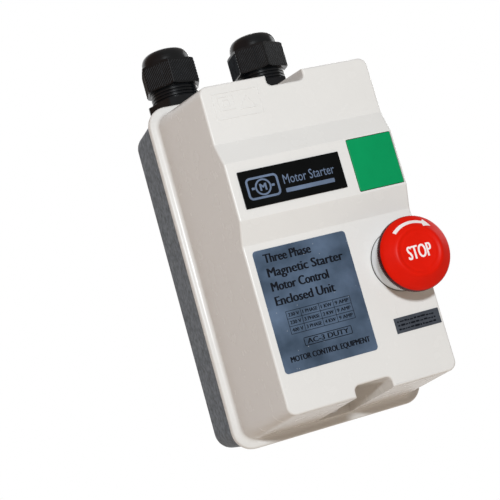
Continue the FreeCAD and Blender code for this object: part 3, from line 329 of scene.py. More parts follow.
def make_materials():
    """The finish of each of the record's material slots, and of the printed marks and grip ribs."""
    surface("housing_plastic", (0.104, 0.130, 0.162), 0.62, spread=0.25, cell=380,
            second=(0.222, 0.262, 0.312), bump=0.45, grain=1500, sharp=(0.30, 0.72), specular=0.15)
    surface("cover_plastic", (0.74, 0.732, 0.715), 0.27, spread=0.010, cell=38, rough_spread=0.02,
            specular=0.25)
    surface("seal_rubber", (0.022, 0.022, 0.023), 0.62, spread=0.25, cell=160, bump=0.25)
    surface("zinc_steel", (0.60, 0.61, 0.63), 0.30, metal=1.0, spread=0.10, cell=140, stretch=(1, 1, 4),
            bump=0.12)
    surface("nameplate_gloss", (0.0032, 0.0038, 0.0040), 0.20, spread=0.3, cell=60, bump=0.03, specular=0.09)
    foil()
    surface("label_dark", (0.052, 0.061, 0.077), 0.38, spread=0.2, cell=160, bump=0.08, specular=0.3)
    surface("start_green", (0.0006, 0.28, 0.094), 0.36, spread=0.05, cell=60, bump=0.09, grain=1300,
            specular=0.12)
    surface("inner_plastic", (0.035, 0.035, 0.038), 0.48, spread=0.18, cell=120, bump=0.22)
    surface("block_plastic", (0.42, 0.43, 0.44), 0.45, spread=0.06, cell=110, bump=0.2)
    surface("spring_steel", (0.45, 0.45, 0.46), 0.25, metal=1.0, spread=0.12, cell=300, bump=0.1)
    surface("terminal_brass", (0.72, 0.53, 0.22), 0.28, metal=1.0, spread=0.10, cell=180, bump=0.12)
    surface("collar_plastic", (0.80, 0.84, 0.875), 0.30, spread=0.03, cell=90, bump=0.05, coat=0.15)
    surface("stop_red", (0.68, 0.0085, 0.0014), 0.40, spread=0.05, cell=90, bump=0.10, grain=1600,
            specular=0.10)
    # A darker red for the mushroom's teeth and back edge: painted shade, where the skirt lies in shadow.
    surface("stop_red_painted_shade", (0.12, 0.003, 0.0015), 0.5, spread=0.15, cell=120, bump=0.10, specular=0.2)
    surface("gland_nylon", (0.0055, 0.0065, 0.0080), 0.22, spread=0.3, cell=140, bump=0.12, grain=1700,
            specular=0.4)
    # The grip ribs are lighter than the nut's flats: a painted highlight on each rib's facets, which are the same
    # nylon.
    surface("gland_rib_painted_highlight", (0.026, 0.0285, 0.032), 0.36, spread=0.3, cell=300, bump=0.10, specular=0.4)
    banded("core_steel", (0.33, 0.33, 0.35), (0.10, 0.10, 0.11), 0.38, 0.9, 0.0007, "Z")
    surface("bobbin_plastic", (0.72, 0.69, 0.58), 0.42, spread=0.05, cell=120, bump=0.1)
    banded("coil_copper", (0.70, 0.26, 0.09), (0.30, 0.08, 0.02), 0.30, 0.85, 0.0005, "Y", bump=0.8)
    surface("carrier_plastic", (0.66, 0.66, 0.64), 0.42, spread=0.05, cell=120, bump=0.15)
    surface("contact_copper", (0.78, 0.42, 0.27), 0.27, metal=1.0, spread=0.12, cell=160, bump=0.10)
    surface("reset_blue", (0.02, 0.09, 0.36), 0.34, spread=0.08, cell=110, bump=0.1)
    surface("board_green", (0.012, 0.17, 0.075), 0.30, cell=420, second=(0.03, 0.26, 0.12), bump=0.15,
            sharp=(0.46, 0.54))
    surface("wire_pvc", (0.50, 0.02, 0.012), 0.38, spread=0.08, cell=200, bump=0.08)
    surface("mark_white", (0.86, 0.80, 0.80), 0.42, spread=0.03, cell=200, bump=0.05)
    surface("mark_navy", (0.0025, 0.004, 0.008), 0.45, spread=0.2, cell=200, bump=0.05, specular=0.12)
    surface("mark_silver", (0.17, 0.235, 0.36), 0.30, metal=0.4, spread=0.12, cell=130, bump=0.05)


def paint_cad_nodes():
    """Gives each CAD node the finish of its slot in the record."""
    for row in frame["record"]["subparts"]:
        for slot in NODES[row["node"]].material_slots:
            slot.material = MATERIALS[row["material_slot"]]


# --- mesh helpers -------------------------------------------------------------
def piece(name, vertices, faces, material, body, smooth=False):
    """A mesh that rides on a body, or on none yet if body is None."""
    mesh = bpy.data.meshes.new(name)
    mesh.from_pydata([tuple(v) for v in vertices], [], faces)
    mesh.materials.append(MATERIALS[material])
    mesh.polygons.foreach_set("use_smooth", [smooth] * len(mesh.polygons))
    mesh.update()
    made = bpy.data.objects.new(name, mesh)
    bpy.context.scene.collection.objects.link(made)
    if body:
        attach(made, body)
    return made


class Solids:
    """Collects closed solids that end up in one mesh."""

    def __init__(self):
        self.vertices = []
        self.faces = []

    def add(self, vertices, faces):
        start = len(self.vertices)
        self.vertices += [Vector(v) for v in vertices]
        self.faces += [tuple(start + i for i in face) for face in faces]

    def prism(self, outline, lift):
        """A flat outline, anticlockwise seen from the side that lift points to, raised by lift."""
        count = len(outline)
        base = [Vector(p) for p in outline]
        top = [p + Vector(lift) for p in base]
        sides = [(i, (i + 1) % count, count + (i + 1) % count, count + i) for i in range(count)]
        ends = [tuple(range(count - 1, -1, -1)), tuple(range(count, 2 * count))]
        self.add(base + top, sides + ends)

    def ring(self, outer, inner, lift):
        """A flat band between two outlines of equally many points, raised by lift."""
        count = len(outer)
        lift = Vector(lift)
        rows = [[Vector(p) for p in outer], [Vector(p) for p in inner]]
        rows += [[p + lift for p in rows[1]], [p + lift for p in rows[0]]]
        faces = []
        for row in range(4):
            after = (row + 1) % 4
            for i in range(count):
                j = (i + 1) % count
                faces.append((row * count + j, row * count + i, after * count + i, after * count + j))
        self.add([p for r in rows for p in r], faces)

    def make(self, name, material, body, slot, smooth=False):
        return piece(name, self.vertices, self.faces, material, body, smooth)


PRINT_T = 0.05 * MM      # ink stands this far proud
PRINT_SINK = 0.02 * MM   # and starts this far inside
CORNER_STEPS = 5
CIRCLE_STEPS = 40


def rounded_outline(x0, x1, z0, z1, radius, y):
    """A rounded rectangle in the plane at y, anticlockwise seen from the front."""
    points = []
    corners = ((x1 - radius, z0 + radius, -90), (x1 - radius, z1 - radius, 0),
               (x0 + radius, z1 - radius, 90), (x0 + radius, z0 + radius, 180))
    for cx, cz, start in corners:
        for step in range(CORNER_STEPS + 1):
            angle = math.radians(start + 90 * step / CORNER_STEPS)
            points.append((cx + radius * math.cos(angle), y, cz + radius * math.sin(angle)))
    return points


class Print:
    """Raised ink on a plane that faces the front, measured from the plane's lower left corner."""

    def __init__(self, origin_x, origin_z, y):
        self.x = origin_x
        self.z = origin_z
        self.y = y + PRINT_SINK
        self.lift = (0, -PRINT_T - PRINT_SINK, 0)
        self.solids = Solids()

    def place(self, u, v):
        return self.x + u * MM, self.z + v * MM

    def bar(self, u0, u1, v0, v1, radius=0.1):
        """A filled rectangle with rounded corners."""
        x0, z0 = self.place(u0, v0)
        x1, z1 = self.place(u1, v1)
        self.solids.prism(rounded_outline(x0, x1, z0, z1, radius * MM, self.y), self.lift)

    def frame(self, u0, u1, v0, v1, line, radius=0.3):
        """An outline, line wide, with its outer edges at the given places; radius is that of its hole."""
        x0, z0 = self.place(u0, v0)
        x1, z1 = self.place(u1, v1)
        w = line * MM
        outer = rounded_outline(x0, x1, z0, z1, (radius + line) * MM, self.y)
        inner = rounded_outline(x0 + w, x1 - w, z0 + w, z1 - w, radius * MM, self.y)
        self.solids.ring(outer, inner, self.lift)

    def circle(self, u, v, radius, line):
        x, z = self.place(u, v)
        rings = []
        for r in (radius, radius - line):
            turns = [2 * math.pi * i / CIRCLE_STEPS for i in range(CIRCLE_STEPS)]
            rings.append([(x + r * MM * math.cos(a), self.y, z + r * MM * math.sin(a)) for a in turns])
        self.solids.ring(rings[0], rings[1], self.lift)

    def make(self, name, material, body, slot):
        return self.solids.make(name, material, body, slot)


COPY_STEP = 0.004 * MM   # each copy of a letter stands a little lower, so that no two faces coincide
CAP_HEIGHT = 0.69        # of the built-in letters, at size 1
LETTER_STEPS = 3         # segments of each curve in a letter
LETTER_LIFT = 0.5        # only tells the front of a letter from its back
BOLD = 0.055
BOLDER = 0.06


def lettering(name, words, left, base, width, height, y, material, body, slot, bold):
    """Raised letters on a plane that faces the front, fitted to a width and a capital height.

    Three copies side by side thicken the upright strokes; bold is the step between them over the height. With a
    bold of 0 there is one.
    """
    curve = bpy.data.curves.new(name, "FONT")
    curve.body = words
    curve.extrude = LETTER_LIFT
    curve.resolution_u = LETTER_STEPS
    text = bpy.data.objects.new(name, curve)
    bpy.context.scene.collection.objects.link(text)
    bpy.context.view_layer.update()
    mesh = bpy.data.meshes.new_from_object(text.evaluated_get(bpy.context.evaluated_depsgraph_get()))
    bpy.data.objects.remove(text)
    xs = [v.co.x for v in mesh.vertices]
    copies = 3 if bold > 0 else 1
    spread = bold * height * (copies - 1)
    scale_x = (width - spread) / (max(xs) - min(xs))
    scale_z = height / CAP_HEIGHT
    solids = Solids()
    for copy in range(copies):
        shift = bold * height * copy
        thick = PRINT_T + PRINT_SINK - COPY_STEP * copy
        points = []
        for v in mesh.vertices:
            depth = thick if v.co.z > 0 else 0.0
            points.append((left + shift + (v.co.x - min(xs)) * scale_x, y + PRINT_SINK - depth,
                           base + v.co.y * scale_z))
        solids.add(points, [tuple(face.vertices) for face in mesh.polygons])
    return solids.make(name, material, body, slot)


# --- nameplate and labels -------------------------------------------------------
# Places and sizes on the plates are in millimetres. Marks are measured from the lower left corner as left, right,
# bottom and top, then a line width where there is one, then a corner radius.
BADGE_FRAME = (3.0, 21.6, 3.9, 16.2, 1.2, 1.4)
BADGE_CIRCLE = (12.3, 10.05, 4.6, 0.95)      # centre, radius and line
BADGE_TERMINALS = ((5.7, 7.5, 9.4, 10.7, 0.2), (17.1, 18.9, 9.4, 10.7, 0.2))
NAME_BAR = (24.3, 53.0, 4.3, 6.6, 0.5)
# Words are given as left, base line, width and height of the capitals.
BADGE_LETTER = (10.3, 8.1, 4.0, 3.9)
NAME_WORDS = (24.3, 9.0, 30.0, 5.2)

# The rating label's lines are measured from its upper edge instead.
TITLES = (("Three Phase", 27.5), ("Magnetic Starter", 44.5), ("Motor Control", 33.5), ("Enclosed Unit", 35.0))
TITLE_LEFT = 5.2
TITLE_FIRST = 7.5
TITLE_STEP = 7.8
TITLE_CAP = 4.9
TABLE_ROWS = (("230 V", "1 PHASE", "1 KW", "9 AMP"), ("230 V", "3 PHASE", "2 KW", "9 AMP"),
              ("400 V", "3 PHASE", "4 KW", "9 AMP"))
TABLE_U = (9.2, 17.5, 28.3, 36.6, 46.7)
TABLE_V = (35.0, 39.1, 43.3, 47.4)
TABLE_LINE = 0.28
LINE_RADIUS = 0.05
ENTRY_LEFT = 0.9         # from the left line of its cell
ENTRY_ROOM = 1.9         # width that an entry leaves free in its cell
ENTRY_BASE = 1.1         # above the lower line of its cell
ENTRY_CAP = 1.9
DUTY_FRAME = (14.8, 42.9, 55.2, 50.6, 0.4)
DUTY_WORDS = (16.5, 54.2, 24.5, 2.7)
FOOT_WORDS = (4.8, 61.7, 46.6, 3.0)

# The small label's dashes.
DASH_ROWS = 3
DASH_LEFT = 1.6
DASH_BASE = 1.5
DASH_ROW_STEP = 2.1
DASH_LAST = 3.2          # no dash starts nearer than this to the right edge
DASH_RIGHT = 1.5         # and none ends nearer than this
DASH_LENGTH = (0.7, 3.0)
DASH_LOW = (0.0, 0.25)
DASH_HIGH = (0.75, 1.15)
DASH_GAP = (0.25, 0.6)
DASH_RADIUS = 0.2


def add_nameplate_print():
    """A framed letter in a circle, two words and a bar below them."""
    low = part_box("nameplate")[0]
    marks = Print(low.x, low.z, low.y)
    marks.frame(*BADGE_FRAME)
    marks.circle(*BADGE_CIRCLE)
    for terminal in BADGE_TERMINALS:
        marks.bar(*terminal)
    marks.bar(*NAME_BAR)
    marks.make("nameplate_marks", "mark_silver", "cover", "label_foil")
    for name, words, (left, base, wide, cap), bold in (
            ("nameplate_symbol", "M", BADGE_LETTER, BOLDER), ("nameplate_words", "Motor Starter", NAME_WORDS, 0.0)):
        lettering(name, words, low.x + left * MM, low.z + base * MM, wide * MM, cap * MM, low.y,
                  "mark_silver", "cover", "label_foil", bold)


def add_rating_label_print():
    """Four lines of title, a table of ratings, a framed line and a foot line."""
    low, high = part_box("rating_label")
    tall = (high.z - low.z) / MM
    marks = Print(low.x, low.z, low.y)
    half = TABLE_LINE / 2
    for v in TABLE_V:
        marks.bar(TABLE_U[0], TABLE_U[-1], tall - v - half, tall - v + half, LINE_RADIUS)
    for u in TABLE_U:
        marks.bar(u - half, u + half, tall - TABLE_V[-1], tall - TABLE_V[0], LINE_RADIUS)
    left, right, bottom, top, line = DUTY_FRAME
    marks.frame(left, right, tall - bottom, tall - top, line)
    marks.make("label_lines", "mark_navy", "cover", "label_foil")

    def write(name, words, left, base, wide, cap, bold):
        lettering(name, words, low.x + left * MM, high.z - base * MM, wide * MM, cap * MM, low.y,
                  "mark_navy", "cover", "label_foil", bold)

    for index, (words, wide) in enumerate(TITLES):
        write("label_title_%d" % index, words, TITLE_LEFT, TITLE_FIRST + TITLE_STEP * index, wide, TITLE_CAP, BOLD)
    for row, entries in enumerate(TABLE_ROWS):
        for column, words in enumerate(entries):
            wide = TABLE_U[column + 1] - TABLE_U[column] - ENTRY_ROOM
            write("label_entry_%d_%d" % (row, column), words, TABLE_U[column] + ENTRY_LEFT,
                  TABLE_V[row + 1] - ENTRY_BASE, wide, ENTRY_CAP, BOLD)
    write("label_duty", "AC-3 DUTY", *DUTY_WORDS, BOLDER)
    write("label_foot", "MOTOR CONTROL EQUIPMENT", *FOOT_WORDS, BOLDER)


def add_small_label_print():
    """Rows of dashes, like print too small to read."""
    low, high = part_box("small_label")
    wide = (high.x - low.x) / MM
    marks = Print(low.x, low.z, low.y)
    for row in range(DASH_ROWS):
        u = DASH_LEFT
        v = DASH_BASE + DASH_ROW_STEP * row
        while u < wide - DASH_LAST:
            length = random.uniform(*DASH_LENGTH)
            low_v = v + random.uniform(*DASH_LOW)
            high_v = v + random.uniform(*DASH_HIGH)
            marks.bar(u, min(u + length, wide - DASH_RIGHT), low_v, high_v, DASH_RADIUS)
            u += length + random.uniform(*DASH_GAP)
    marks.make("small_label_marks", "mark_navy", "cover", "label_dark")


# --- stop button ----------------------------------------------------------------
# Millimetres: radii from the button's axis and depths behind the highest point of its face.
STOP_PROFILE = (
    (0.0, 0.72), (6.0, 0.70), (8.9, 0.68), (9.3, 0.60), (9.8, 0.60), (10.3, 0.66), (11.1, 0.60), (11.6, 0.34),
    (12.1, 0.06), (12.6, 0.02), (13.0, 0.08), (13.6, 0.30), (14.6, 1.00), (16.2, 2.18), (17.8, 3.38), (18.9, 4.24),
    (19.6, 4.85), (20.05, 5.5),
)
STOP_TEETH = 140
TOOTH_STEPS = 4
TOOTH_DEEP = 0.62
SKIRT_DEPTH = 5.9        # where the serrated skirt starts
SKIRT_INSET = 0.15       # there, inwards from the full radius
SKIRT_CUT = 0.2          # and the share of the teeth's full depth
SKIRT_FULL = 6.2         # its teeth have their full depth from here on
SKIRT_BEVEL = 0.25       # length and inset of the bevel at its back edge
SKIRT_BEVEL_INSET = 0.2
SKIRT_WALL = 1.3
SKIRT_FLOOR = 8.4        # the hollow's depth at the wall
HUB_RADIUS = 8.6         # where the hollow's floor meets the hub
HUB_END_RADIUS = 8.2     # the hub at its back end
HUB_BORE = 6.35
HUB_FLOOR = 3.0          # the floor's depth beside the hub, and of the bore
STOP_CREASE = math.radians(38)
STOP_WORD_WIDE = 14.4
STOP_WORD_CAP = 7.2
STOP_WORD_BOLD = 0.032
STOP_WORD_RADIUS = 6.0   # the word stands on the face as high as it is at this radius

ARROW_R = 16.2
ARROW_HALF = 0.85
ARROW_FROM = 131.0       # degrees from the right, anticlockwise
ARROW_NECK = 64.0
ARROW_TIP = 47.0
ARROW_HEAD_HALF = 2.3
ARROW_TIP_HALF = 0.02
ARROW_SINK = 0.1
ARROW_STEPS = 36
ARROW_ACROSS = 4


def stop_height(r):
    """Depth of the mushroom's face behind its highest point, in millimetres, at a radius."""
    for (r0, d0), (r1, d1) in zip(STOP_PROFILE, STOP_PROFILE[1:]):
        if r <= r1:
            return d0 + (d1 - d0) * (r - r0) / (r1 - r0)
    return STOP_PROFILE[-1][1]


def add_stop_head():
    """The mushroom: a dished face, a rolled edge and a serrated skirt, hollow behind."""
    low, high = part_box("stop_head")
    cx = (low.x + high.x) / 2
    cz = (low.z + high.z) / 2
    rim = (high.x - low.x) / 2 / MM
    deep = (high.y - low.y) / MM
    tooth_rows = ((rim - SKIRT_INSET, SKIRT_DEPTH, SKIRT_CUT), (rim, SKIRT_FULL, 1.0),
                  (rim, deep - SKIRT_BEVEL, 1.0), (rim - SKIRT_BEVEL_INSET, deep, 1.0))
    inner_rows = ((rim - SKIRT_WALL, deep), (rim - SKIRT_WALL, SKIRT_FLOOR), (HUB_RADIUS, HUB_FLOOR),
                  (HUB_END_RADIUS, deep), (HUB_BORE, deep), (HUB_BORE, HUB_FLOOR), (0.0, HUB_FLOOR))
    steps = STOP_TEETH * TOOTH_STEPS
    rows = [(r, d, 0.0) for r, d in STOP_PROFILE] + list(tooth_rows) + [(r, d, 0.0) for r, d in inner_rows]
    vertices = []
    faces = []
    starts = []
    for r, depth, cut in rows:
        starts.append(len(vertices))
        if r == 0.0:
            vertices.append((cx, low.y + depth * MM, cz))
            continue
        for i in range(steps):
            angle = 2 * math.pi * i / steps
            shape = abs(i % TOOTH_STEPS - TOOTH_STEPS / 2) / (TOOTH_STEPS / 2)
            radius = (r - TOOTH_DEEP * cut * shape) * MM
            vertices.append((cx + radius * math.cos(angle), low.y + depth * MM, cz + radius * math.sin(angle)))
    for row in range(len(rows) - 1):
        a = starts[row]
        b = starts[row + 1]
        for i in range(steps):
            j = (i + 1) % steps
            if rows[row][0] == 0.0:
                faces.append((a, b + i, b + j))
            elif rows[row + 1][0] == 0.0:
                faces.append((a + i, b, a + j))
            else:
                faces.append((a + i, b + i, b + j, a + j))
    head = piece("stop_mushroom", vertices, faces, "stop_red", "stop_mushroom", smooth=True)
    head.data.materials.append(MATERIALS["stop_red_painted_shade"])
    # The teeth and the back edge get a darker red: painted shade, standing in for the shadow under the mushroom's
    # rim.
    first_shaded_row = len(STOP_PROFILE)
    last_shaded_row = first_shaded_row + len(tooth_rows)
    for face in head.data.polygons:
        face.material_index = int(first_shaded_row <= face.index // steps < last_shaded_row)
    head.data.set_sharp_from_angle(angle=STOP_CREASE)
    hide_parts("stop_head")
    add_arrow(cx, cz, low.y)
    wide = STOP_WORD_WIDE * MM
    tall = STOP_WORD_CAP * MM
    face_y = low.y + stop_height(STOP_WORD_RADIUS) * MM
    lettering("stop_word", "STOP", cx - wide / 2, cz - tall / 2, wide, tall, face_y,
              "mark_white", "stop_mushroom", "stop_red", STOP_WORD_BOLD)


def add_arrow(cx, cz, face_y):
    """A clockwise arrow that lies on the slope of the mushroom's rim."""
    solids = Solids()
    rows = []
    for step in range(ARROW_STEPS + 1):
        share = step / ARROW_STEPS
        angle = math.radians(ARROW_FROM + (ARROW_TIP - ARROW_FROM) * share)
        degrees = math.degrees(angle)
        if degrees > ARROW_NECK:
            half = ARROW_HALF
        else:
            half = ARROW_HEAD_HALF * (degrees - ARROW_TIP) / (ARROW_NECK - ARROW_TIP) + ARROW_TIP_HALF
        rows.append((angle, half))
    top = []
    under = []
    for angle, half in rows:
        for k in range(ARROW_ACROSS + 1):
            r = ARROW_R + half * (1 - 2 * k / ARROW_ACROSS)
            x = cx + r * MM * math.cos(angle)
            z = cz + r * MM * math.sin(angle)
            y = face_y + stop_height(r) * MM
            top.append((x, y - PRINT_T, z))
            under.append((x, y + ARROW_SINK * MM, z))
    wide = ARROW_ACROSS + 1
    total = len(top)
    faces = []
    for row in range(ARROW_STEPS):
        for k in range(ARROW_ACROSS):
            a = row * wide + k
            b = a + 1
            c = a + wide + 1
            d = a + wide
            faces.append((a, d, c, b))
            faces.append((total + a, total + b, total + c, total + d))
        left = row * wide
        right = left + ARROW_ACROSS
        faces.append((left, total + left, total + left + wide, left + wide))
        faces.append((right, right + wide, total + right + wide, total + right))
    for k in range(ARROW_ACROSS):
        last = ARROW_STEPS * wide + k
        faces.append((k, k + 1, total + k + 1, total + k))
        faces.append((last, total + last, total + last + 1, last + 1))
    solids.add(top + under, faces)
    solids.make("stop_arrow", "mark_white", "stop_mushroom", "stop_red")


# --- cable glands ----------------------------------------------------------------
# Millimetres, unless said otherwise.
RIB_PITCH = 1.35
RIB_HALF = 0.38
RIB_LIFT = 0.34
RIB_SINK = 0.1           # a rib's feet lie this far inside the flat
RIB_TOP = 138.2          # height of the flats' upper ends
RIB_SLOPE = math.radians(46)     # from the gland's axis
RIB_MARGIN = 0.9
RIB_SHORTEST = 0.8
FLAT_ACROSS = 33.0
NUT_CORNER = {"left": -101.0, "right": -90.0}    # degrees round each gland to a corner of its nut
MOULD_LINE_U = 3.0       # to the side of its flat's middle
MOULD_LINE_HALF = 0.22
MOULD_LINE_MORE = 1.0    # longer than the ribs' field at each end


def clipped(point, direction, half_w, half_h):
    """Where a slanting line through point enters and leaves a centred rectangle: two distances along it.

    None if it misses the rectangle, or nearly.
    """
    near = -math.inf
    far = math.inf
    for p, d, half in ((point[0], direction[0], half_w), (point[1], direction[1], half_h)):
        ends = sorted(((-half - p) / d, (half - p) / d))
        near = max(near, ends[0])
        far = min(far, ends[1])
    return (near, far) if far - near > RIB_SHORTEST else None


def add_gland_ribs(side):
    """Slanting grip ribs moulded on the six flats of the dome nut, and one mould line."""
    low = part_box("gland_nut_" + side)[0]
    body_low, body_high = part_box("gland_body_" + side)
    cx = (body_low.x + body_high.x) / 2
    cy = (body_low.y + body_high.y) / 2
    flat_half = FLAT_ACROSS / 2 / math.sqrt(3) - RIB_MARGIN
    rib_top = RIB_TOP * MM
    mid_z = (low.z + rib_top) / 2
    half_h = (rib_top - low.z) / 2 / MM - RIB_MARGIN
    solids = Solids()
    slope = (math.sin(RIB_SLOPE), math.cos(RIB_SLOPE))
    across = (math.cos(RIB_SLOPE), -math.sin(RIB_SLOPE))
    reach = flat_half * abs(across[0]) + half_h * abs(across[1])
    count = int(reach / RIB_PITCH)

    def on_flat(facing, u, v, out):
        r = (FLAT_ACROSS / 2 + out) * MM
        x = cx + r * math.cos(facing) - u * MM * math.sin(facing)
        y = cy + r * math.sin(facing) + u * MM * math.cos(facing)
        return Vector((x, y, mid_z + v * MM))

    def rib(facing, start, end, side_step):
        ring = []
        for u, v in (start, end):
            ring.append(on_flat(facing, u - side_step[0], v - side_step[1], -RIB_SINK))
            ring.append(on_flat(facing, u, v, RIB_LIFT))
            ring.append(on_flat(facing, u + side_step[0], v + side_step[1], -RIB_SINK))
        solids.add(ring, [(0, 2, 1), (3, 4, 5), (0, 1, 4, 3), (1, 2, 5, 4), (2, 0, 3, 5)])

    for flat in range(6):
        facing = math.radians(NUT_CORNER[side] + 30 + 60 * flat)
        for k in range(-count, count + 1):
            middle = (across[0] * RIB_PITCH * k, across[1] * RIB_PITCH * k)
            span = clipped(middle, slope, flat_half, half_h)
            if span is None:
                continue
            start = (middle[0] + slope[0] * span[0], middle[1] + slope[1] * span[0])
            end = (middle[0] + slope[0] * span[1], middle[1] + slope[1] * span[1])
            rib(facing, start, end, (across[0] * RIB_HALF, across[1] * RIB_HALF))
    facing = math.radians(NUT_CORNER[side] - 30)
    reach = half_h + MOULD_LINE_MORE
    rib(facing, (MOULD_LINE_U, -reach), (MOULD_LINE_U, reach), (MOULD_LINE_HALF, 0.0))
    # The ribs get a lighter finish than the flats: a painted highlight along each rib.
    solids.make("gland_ribs_" + side, "gland_rib_painted_highlight", "gland_nut_" + side, "gland_nylon")


# --- inside ------------------------------------------------------------------------
WINDING_TURNS = 17
TURN_STEPS = 6
WINDING_CORNER = 4.0     # millimetres
HOLE_HALF_X = 6.5
HOLE_ROOM_Z = 1.5        # between the core and the hole's ends
HOLE_CORNER = 2.0
WIRE_CREASE = math.radians(60)


def add_winding():
    """The contactor's coil: one closed shell whose outside bulges at every turn of wire."""
    low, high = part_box("coil_winding")
    core_low, core_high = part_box("magnet_core")
    mid_x = (low.x + high.x) / 2
    mid_z = (low.z + high.z) / 2
    half_x = (high.x - low.x) / 2
    half_z = (high.z - low.z) / 2
    step = (high.y - low.y) / WINDING_TURNS
    rows = []
    for row in range(WINDING_TURNS * TURN_STEPS + 1):
        share = (row % TURN_STEPS) / TURN_STEPS * 2 - 1
        inset = step / 2 * (1 - math.sqrt(max(0.0, 1 - share * share)))
        y = low.y + step * row / TURN_STEPS
        rows.append(rounded_outline(mid_x - half_x + inset, mid_x + half_x - inset, mid_z - half_z + inset,
                                    mid_z + half_z - inset, WINDING_CORNER * MM - inset, y))
    inner_half_x = HOLE_HALF_X * MM
    inner_half_z = (core_high.z - core_low.z) / 2 + HOLE_ROOM_Z * MM
    for y in (high.y, low.y):
        rows.append(rounded_outline(mid_x - inner_half_x, mid_x + inner_half_x, mid_z - inner_half_z,
                                    mid_z + inner_half_z, HOLE_CORNER * MM, y))
    solids = Solids()
    count = len(rows[0])
    faces = []
    for row in range(len(rows)):
        after = (row + 1) % len(rows)
        for i in range(count):
            j = (i + 1) % count
            faces.append((row * count + i, row * count + j, after * count + j, after * count + i))
    solids.add([p for r in rows for p in r], faces)
    winding = solids.make("coil_turns", "coil_copper", "base", "coil_copper", smooth=True)
    winding.data.set_sharp_from_angle(angle=WIRE_CREASE)
    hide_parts("coil_winding")


# node: body at the back end, body at the front end, outer and wire radius in mm, number of coils, turns in each
SPRINGS = {
    "start_spring": ("cover", "start", 5.35, 0.45, 1, 7),
    "stop_spring": ("cover", "stop_plunger", 5.75, 0.45, 1, 10),
    "return_springs": ("base", "contactor_moving", 3.0, 0.40, 2, 11),
    "reset_spring": ("base", "reset", 3.6, 0.40, 1, 5),
}
COIL_STEPS = 28          # along each turn
WIRE_SIDES = 10
END_TURN = 2.15          # rise of the closed turn at each end, in wire radii


def coil(solids, cx, cz, mean, wire, y0, y1, turns):
    """A compression spring of round wire about Y, with a closed turn at each end."""
    end_rise = END_TURN * wire
    rise = y1 - y0 - 2 * wire
    middle_rise = (rise - 2 * end_rise) / (turns - 2)
    steps = turns * COIL_STEPS
    points = []
    for step in range(steps + 1):
        turn = step / COIL_STEPS
        along = min(turn, 1) * end_rise + min(max(turn - 1, 0), turns - 2) * middle_rise
        along += max(turn - turns + 1, 0) * end_rise
        angle = 2 * math.pi * turn
        outward = Vector((math.cos(angle), 0, -math.sin(angle)))
        pitch = end_rise if turn < 1 or turn > turns - 1 else middle_rise
        ahead = Vector((-math.sin(angle) * mean, pitch / (2 * math.pi), -math.cos(angle) * mean)).normalized()
        aside = ahead.cross(outward)
        centre = Vector((cx, y0 + wire + along, cz)) + outward * mean
        for side in range(WIRE_SIDES):
            around = 2 * math.pi * side / WIRE_SIDES
            points.append(centre + (outward * math.cos(around) + aside * math.sin(around)) * wire)
    faces = []
    for step in range(steps):
        for side in range(WIRE_SIDES):
            a = step * WIRE_SIDES + side
            b = step * WIRE_SIDES + (side + 1) % WIRE_SIDES
            faces.append((a, b, b + WIRE_SIDES, a + WIRE_SIDES))
    faces.append(tuple(range(WIRE_SIDES - 1, -1, -1)))
    faces.append(tuple(range(steps * WIRE_SIDES, (steps + 1) * WIRE_SIDES)))
    solids.add(points, faces)


def add_springs():
    """Round-wire coil springs in place of the spring nodes; they ride on no body and keep their shape."""
    for node, (back, front, outer, wire, coils, turns) in SPRINGS.items():
        low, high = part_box(node)
        outer *= MM
        wire *= MM
        spots = [((low.x + high.x) / 2, (low.z + high.z) / 2)]
        if coils == 2:
            spots = [(low.x + outer, low.z + outer), (high.x - outer, high.z - outer)]
        solids = Solids()
        for cx, cz in spots:
            coil(solids, cx, cz, outer - wire, wire, low.y, high.y, turns)
        spring = solids.make(node + "_wire", "spring_steel", None, "spring_steel", smooth=True)
        spring.data.set_sharp_from_angle(angle=WIRE_CREASE)
        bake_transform(spring)
        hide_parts(node)


BOARD_FRONT = -15.6      # millimetres, like all of these
PART_SINK = 0.1          # a part starts this far inside the board
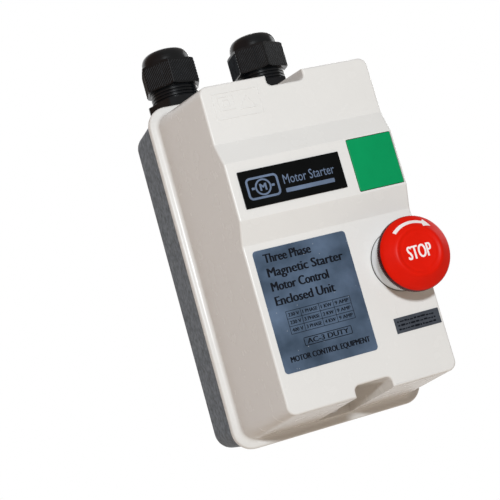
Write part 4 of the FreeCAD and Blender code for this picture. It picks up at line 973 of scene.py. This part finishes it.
# number in a row, step along X and along Z, then for each block: kind, left, width, height off the board,
# bottom, length
BOARD_ROWS = (
    (6, 2.4, 0.0, (("parts", 19.6, 1.3, 0.6, 1.0, 2.2), ("pins", 19.7, 1.1, 0.45, 0.4, 0.6),
                   ("pins", 19.7, 1.1, 0.45, 3.2, 0.6))),
    (5, 0.0, 2.3, (("parts", 37.0, 3.0, 0.7, -9.6, 1.2), ("pins", 36.3, 0.7, 0.5, -9.5, 1.0),
                   ("pins", 40.0, 0.7, 0.5, -9.5, 1.0))),
    (7, 0.0, 1.4, (("pins", 20.9, 1.1, 0.9, -21.4, 0.5), ("pins", 32.0, 1.1, 0.9, -21.4, 0.5))),
    (4, 1.4, 0.0, (("pins", 36.6, 0.5, 0.9, -20.9, 0.9), ("pins", 36.6, 0.5, 0.9, -14.0, 0.9))),
)


def add_board_parts():
    """Small parts soldered to the receiver's board, and the pins of its two chips."""
    kinds = {"parts": Solids(), "pins": Solids()}
    back = (BOARD_FRONT + PART_SINK) * MM
    for count, step_x, step_z, blocks in BOARD_ROWS:
        for index in range(count):
            for kind, left, wide, proud, bottom, tall in blocks:
                x0 = (left + step_x * index) * MM
                z0 = (bottom + step_z * index) * MM
                x1 = x0 + wide * MM
                z1 = z0 + tall * MM
                outline = [(x0, back, z0), (x1, back, z0), (x1, back, z1), (x0, back, z1)]
                kinds[kind].prism(outline, (0, -(proud + PART_SINK) * MM, 0))
    kinds["parts"].make("board_parts", "inner_plastic", "base", "inner_plastic")
    kinds["pins"].make("board_pins", "zinc_steel", "base", "zinc_steel")


TICKS = 9
TICK_FROM = -30          # degrees from the right, anticlockwise
TICK_STEP = 30
TICK_HALF = 0.22
TICK_R = 7.2
TICK_LENGTHS = (1.9, 1.2)        # in turn


def add_dial_scale():
    """A ring of ticks round the current dial."""
    low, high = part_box("current_dial")
    cx = (low.x + high.x) / 2
    cz = (low.z + high.z) / 2
    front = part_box("overload_housing")[0].y
    ticks = Solids()
    for index in range(TICKS):
        angle = math.radians(TICK_FROM + TICK_STEP * index)
        along = Vector((math.cos(angle), 0, math.sin(angle)))
        aside = Vector((-math.sin(angle), 0, math.cos(angle))) * TICK_HALF * MM
        inner = Vector((cx, front + PRINT_SINK, cz)) + along * TICK_R * MM
        outer = inner + along * TICK_LENGTHS[index % 2] * MM
        ticks.prism([inner - aside, outer - aside, outer + aside, inner + aside], (0, -PRINT_T - PRINT_SINK, 0))
    ticks.make("dial_scale", "mark_white", "base", "carrier_plastic")


# --- build -------------------------------------------------------------------------
make_materials()
add_camera()
add_studio()
paint_cad_nodes()
add_nameplate_print()
add_rating_label_print()
add_small_label_print()
add_stop_head()
for gland_side in ("left", "right"):
    add_gland_ribs(gland_side)
add_winding()
add_springs()
add_board_parts()
add_dial_scale()
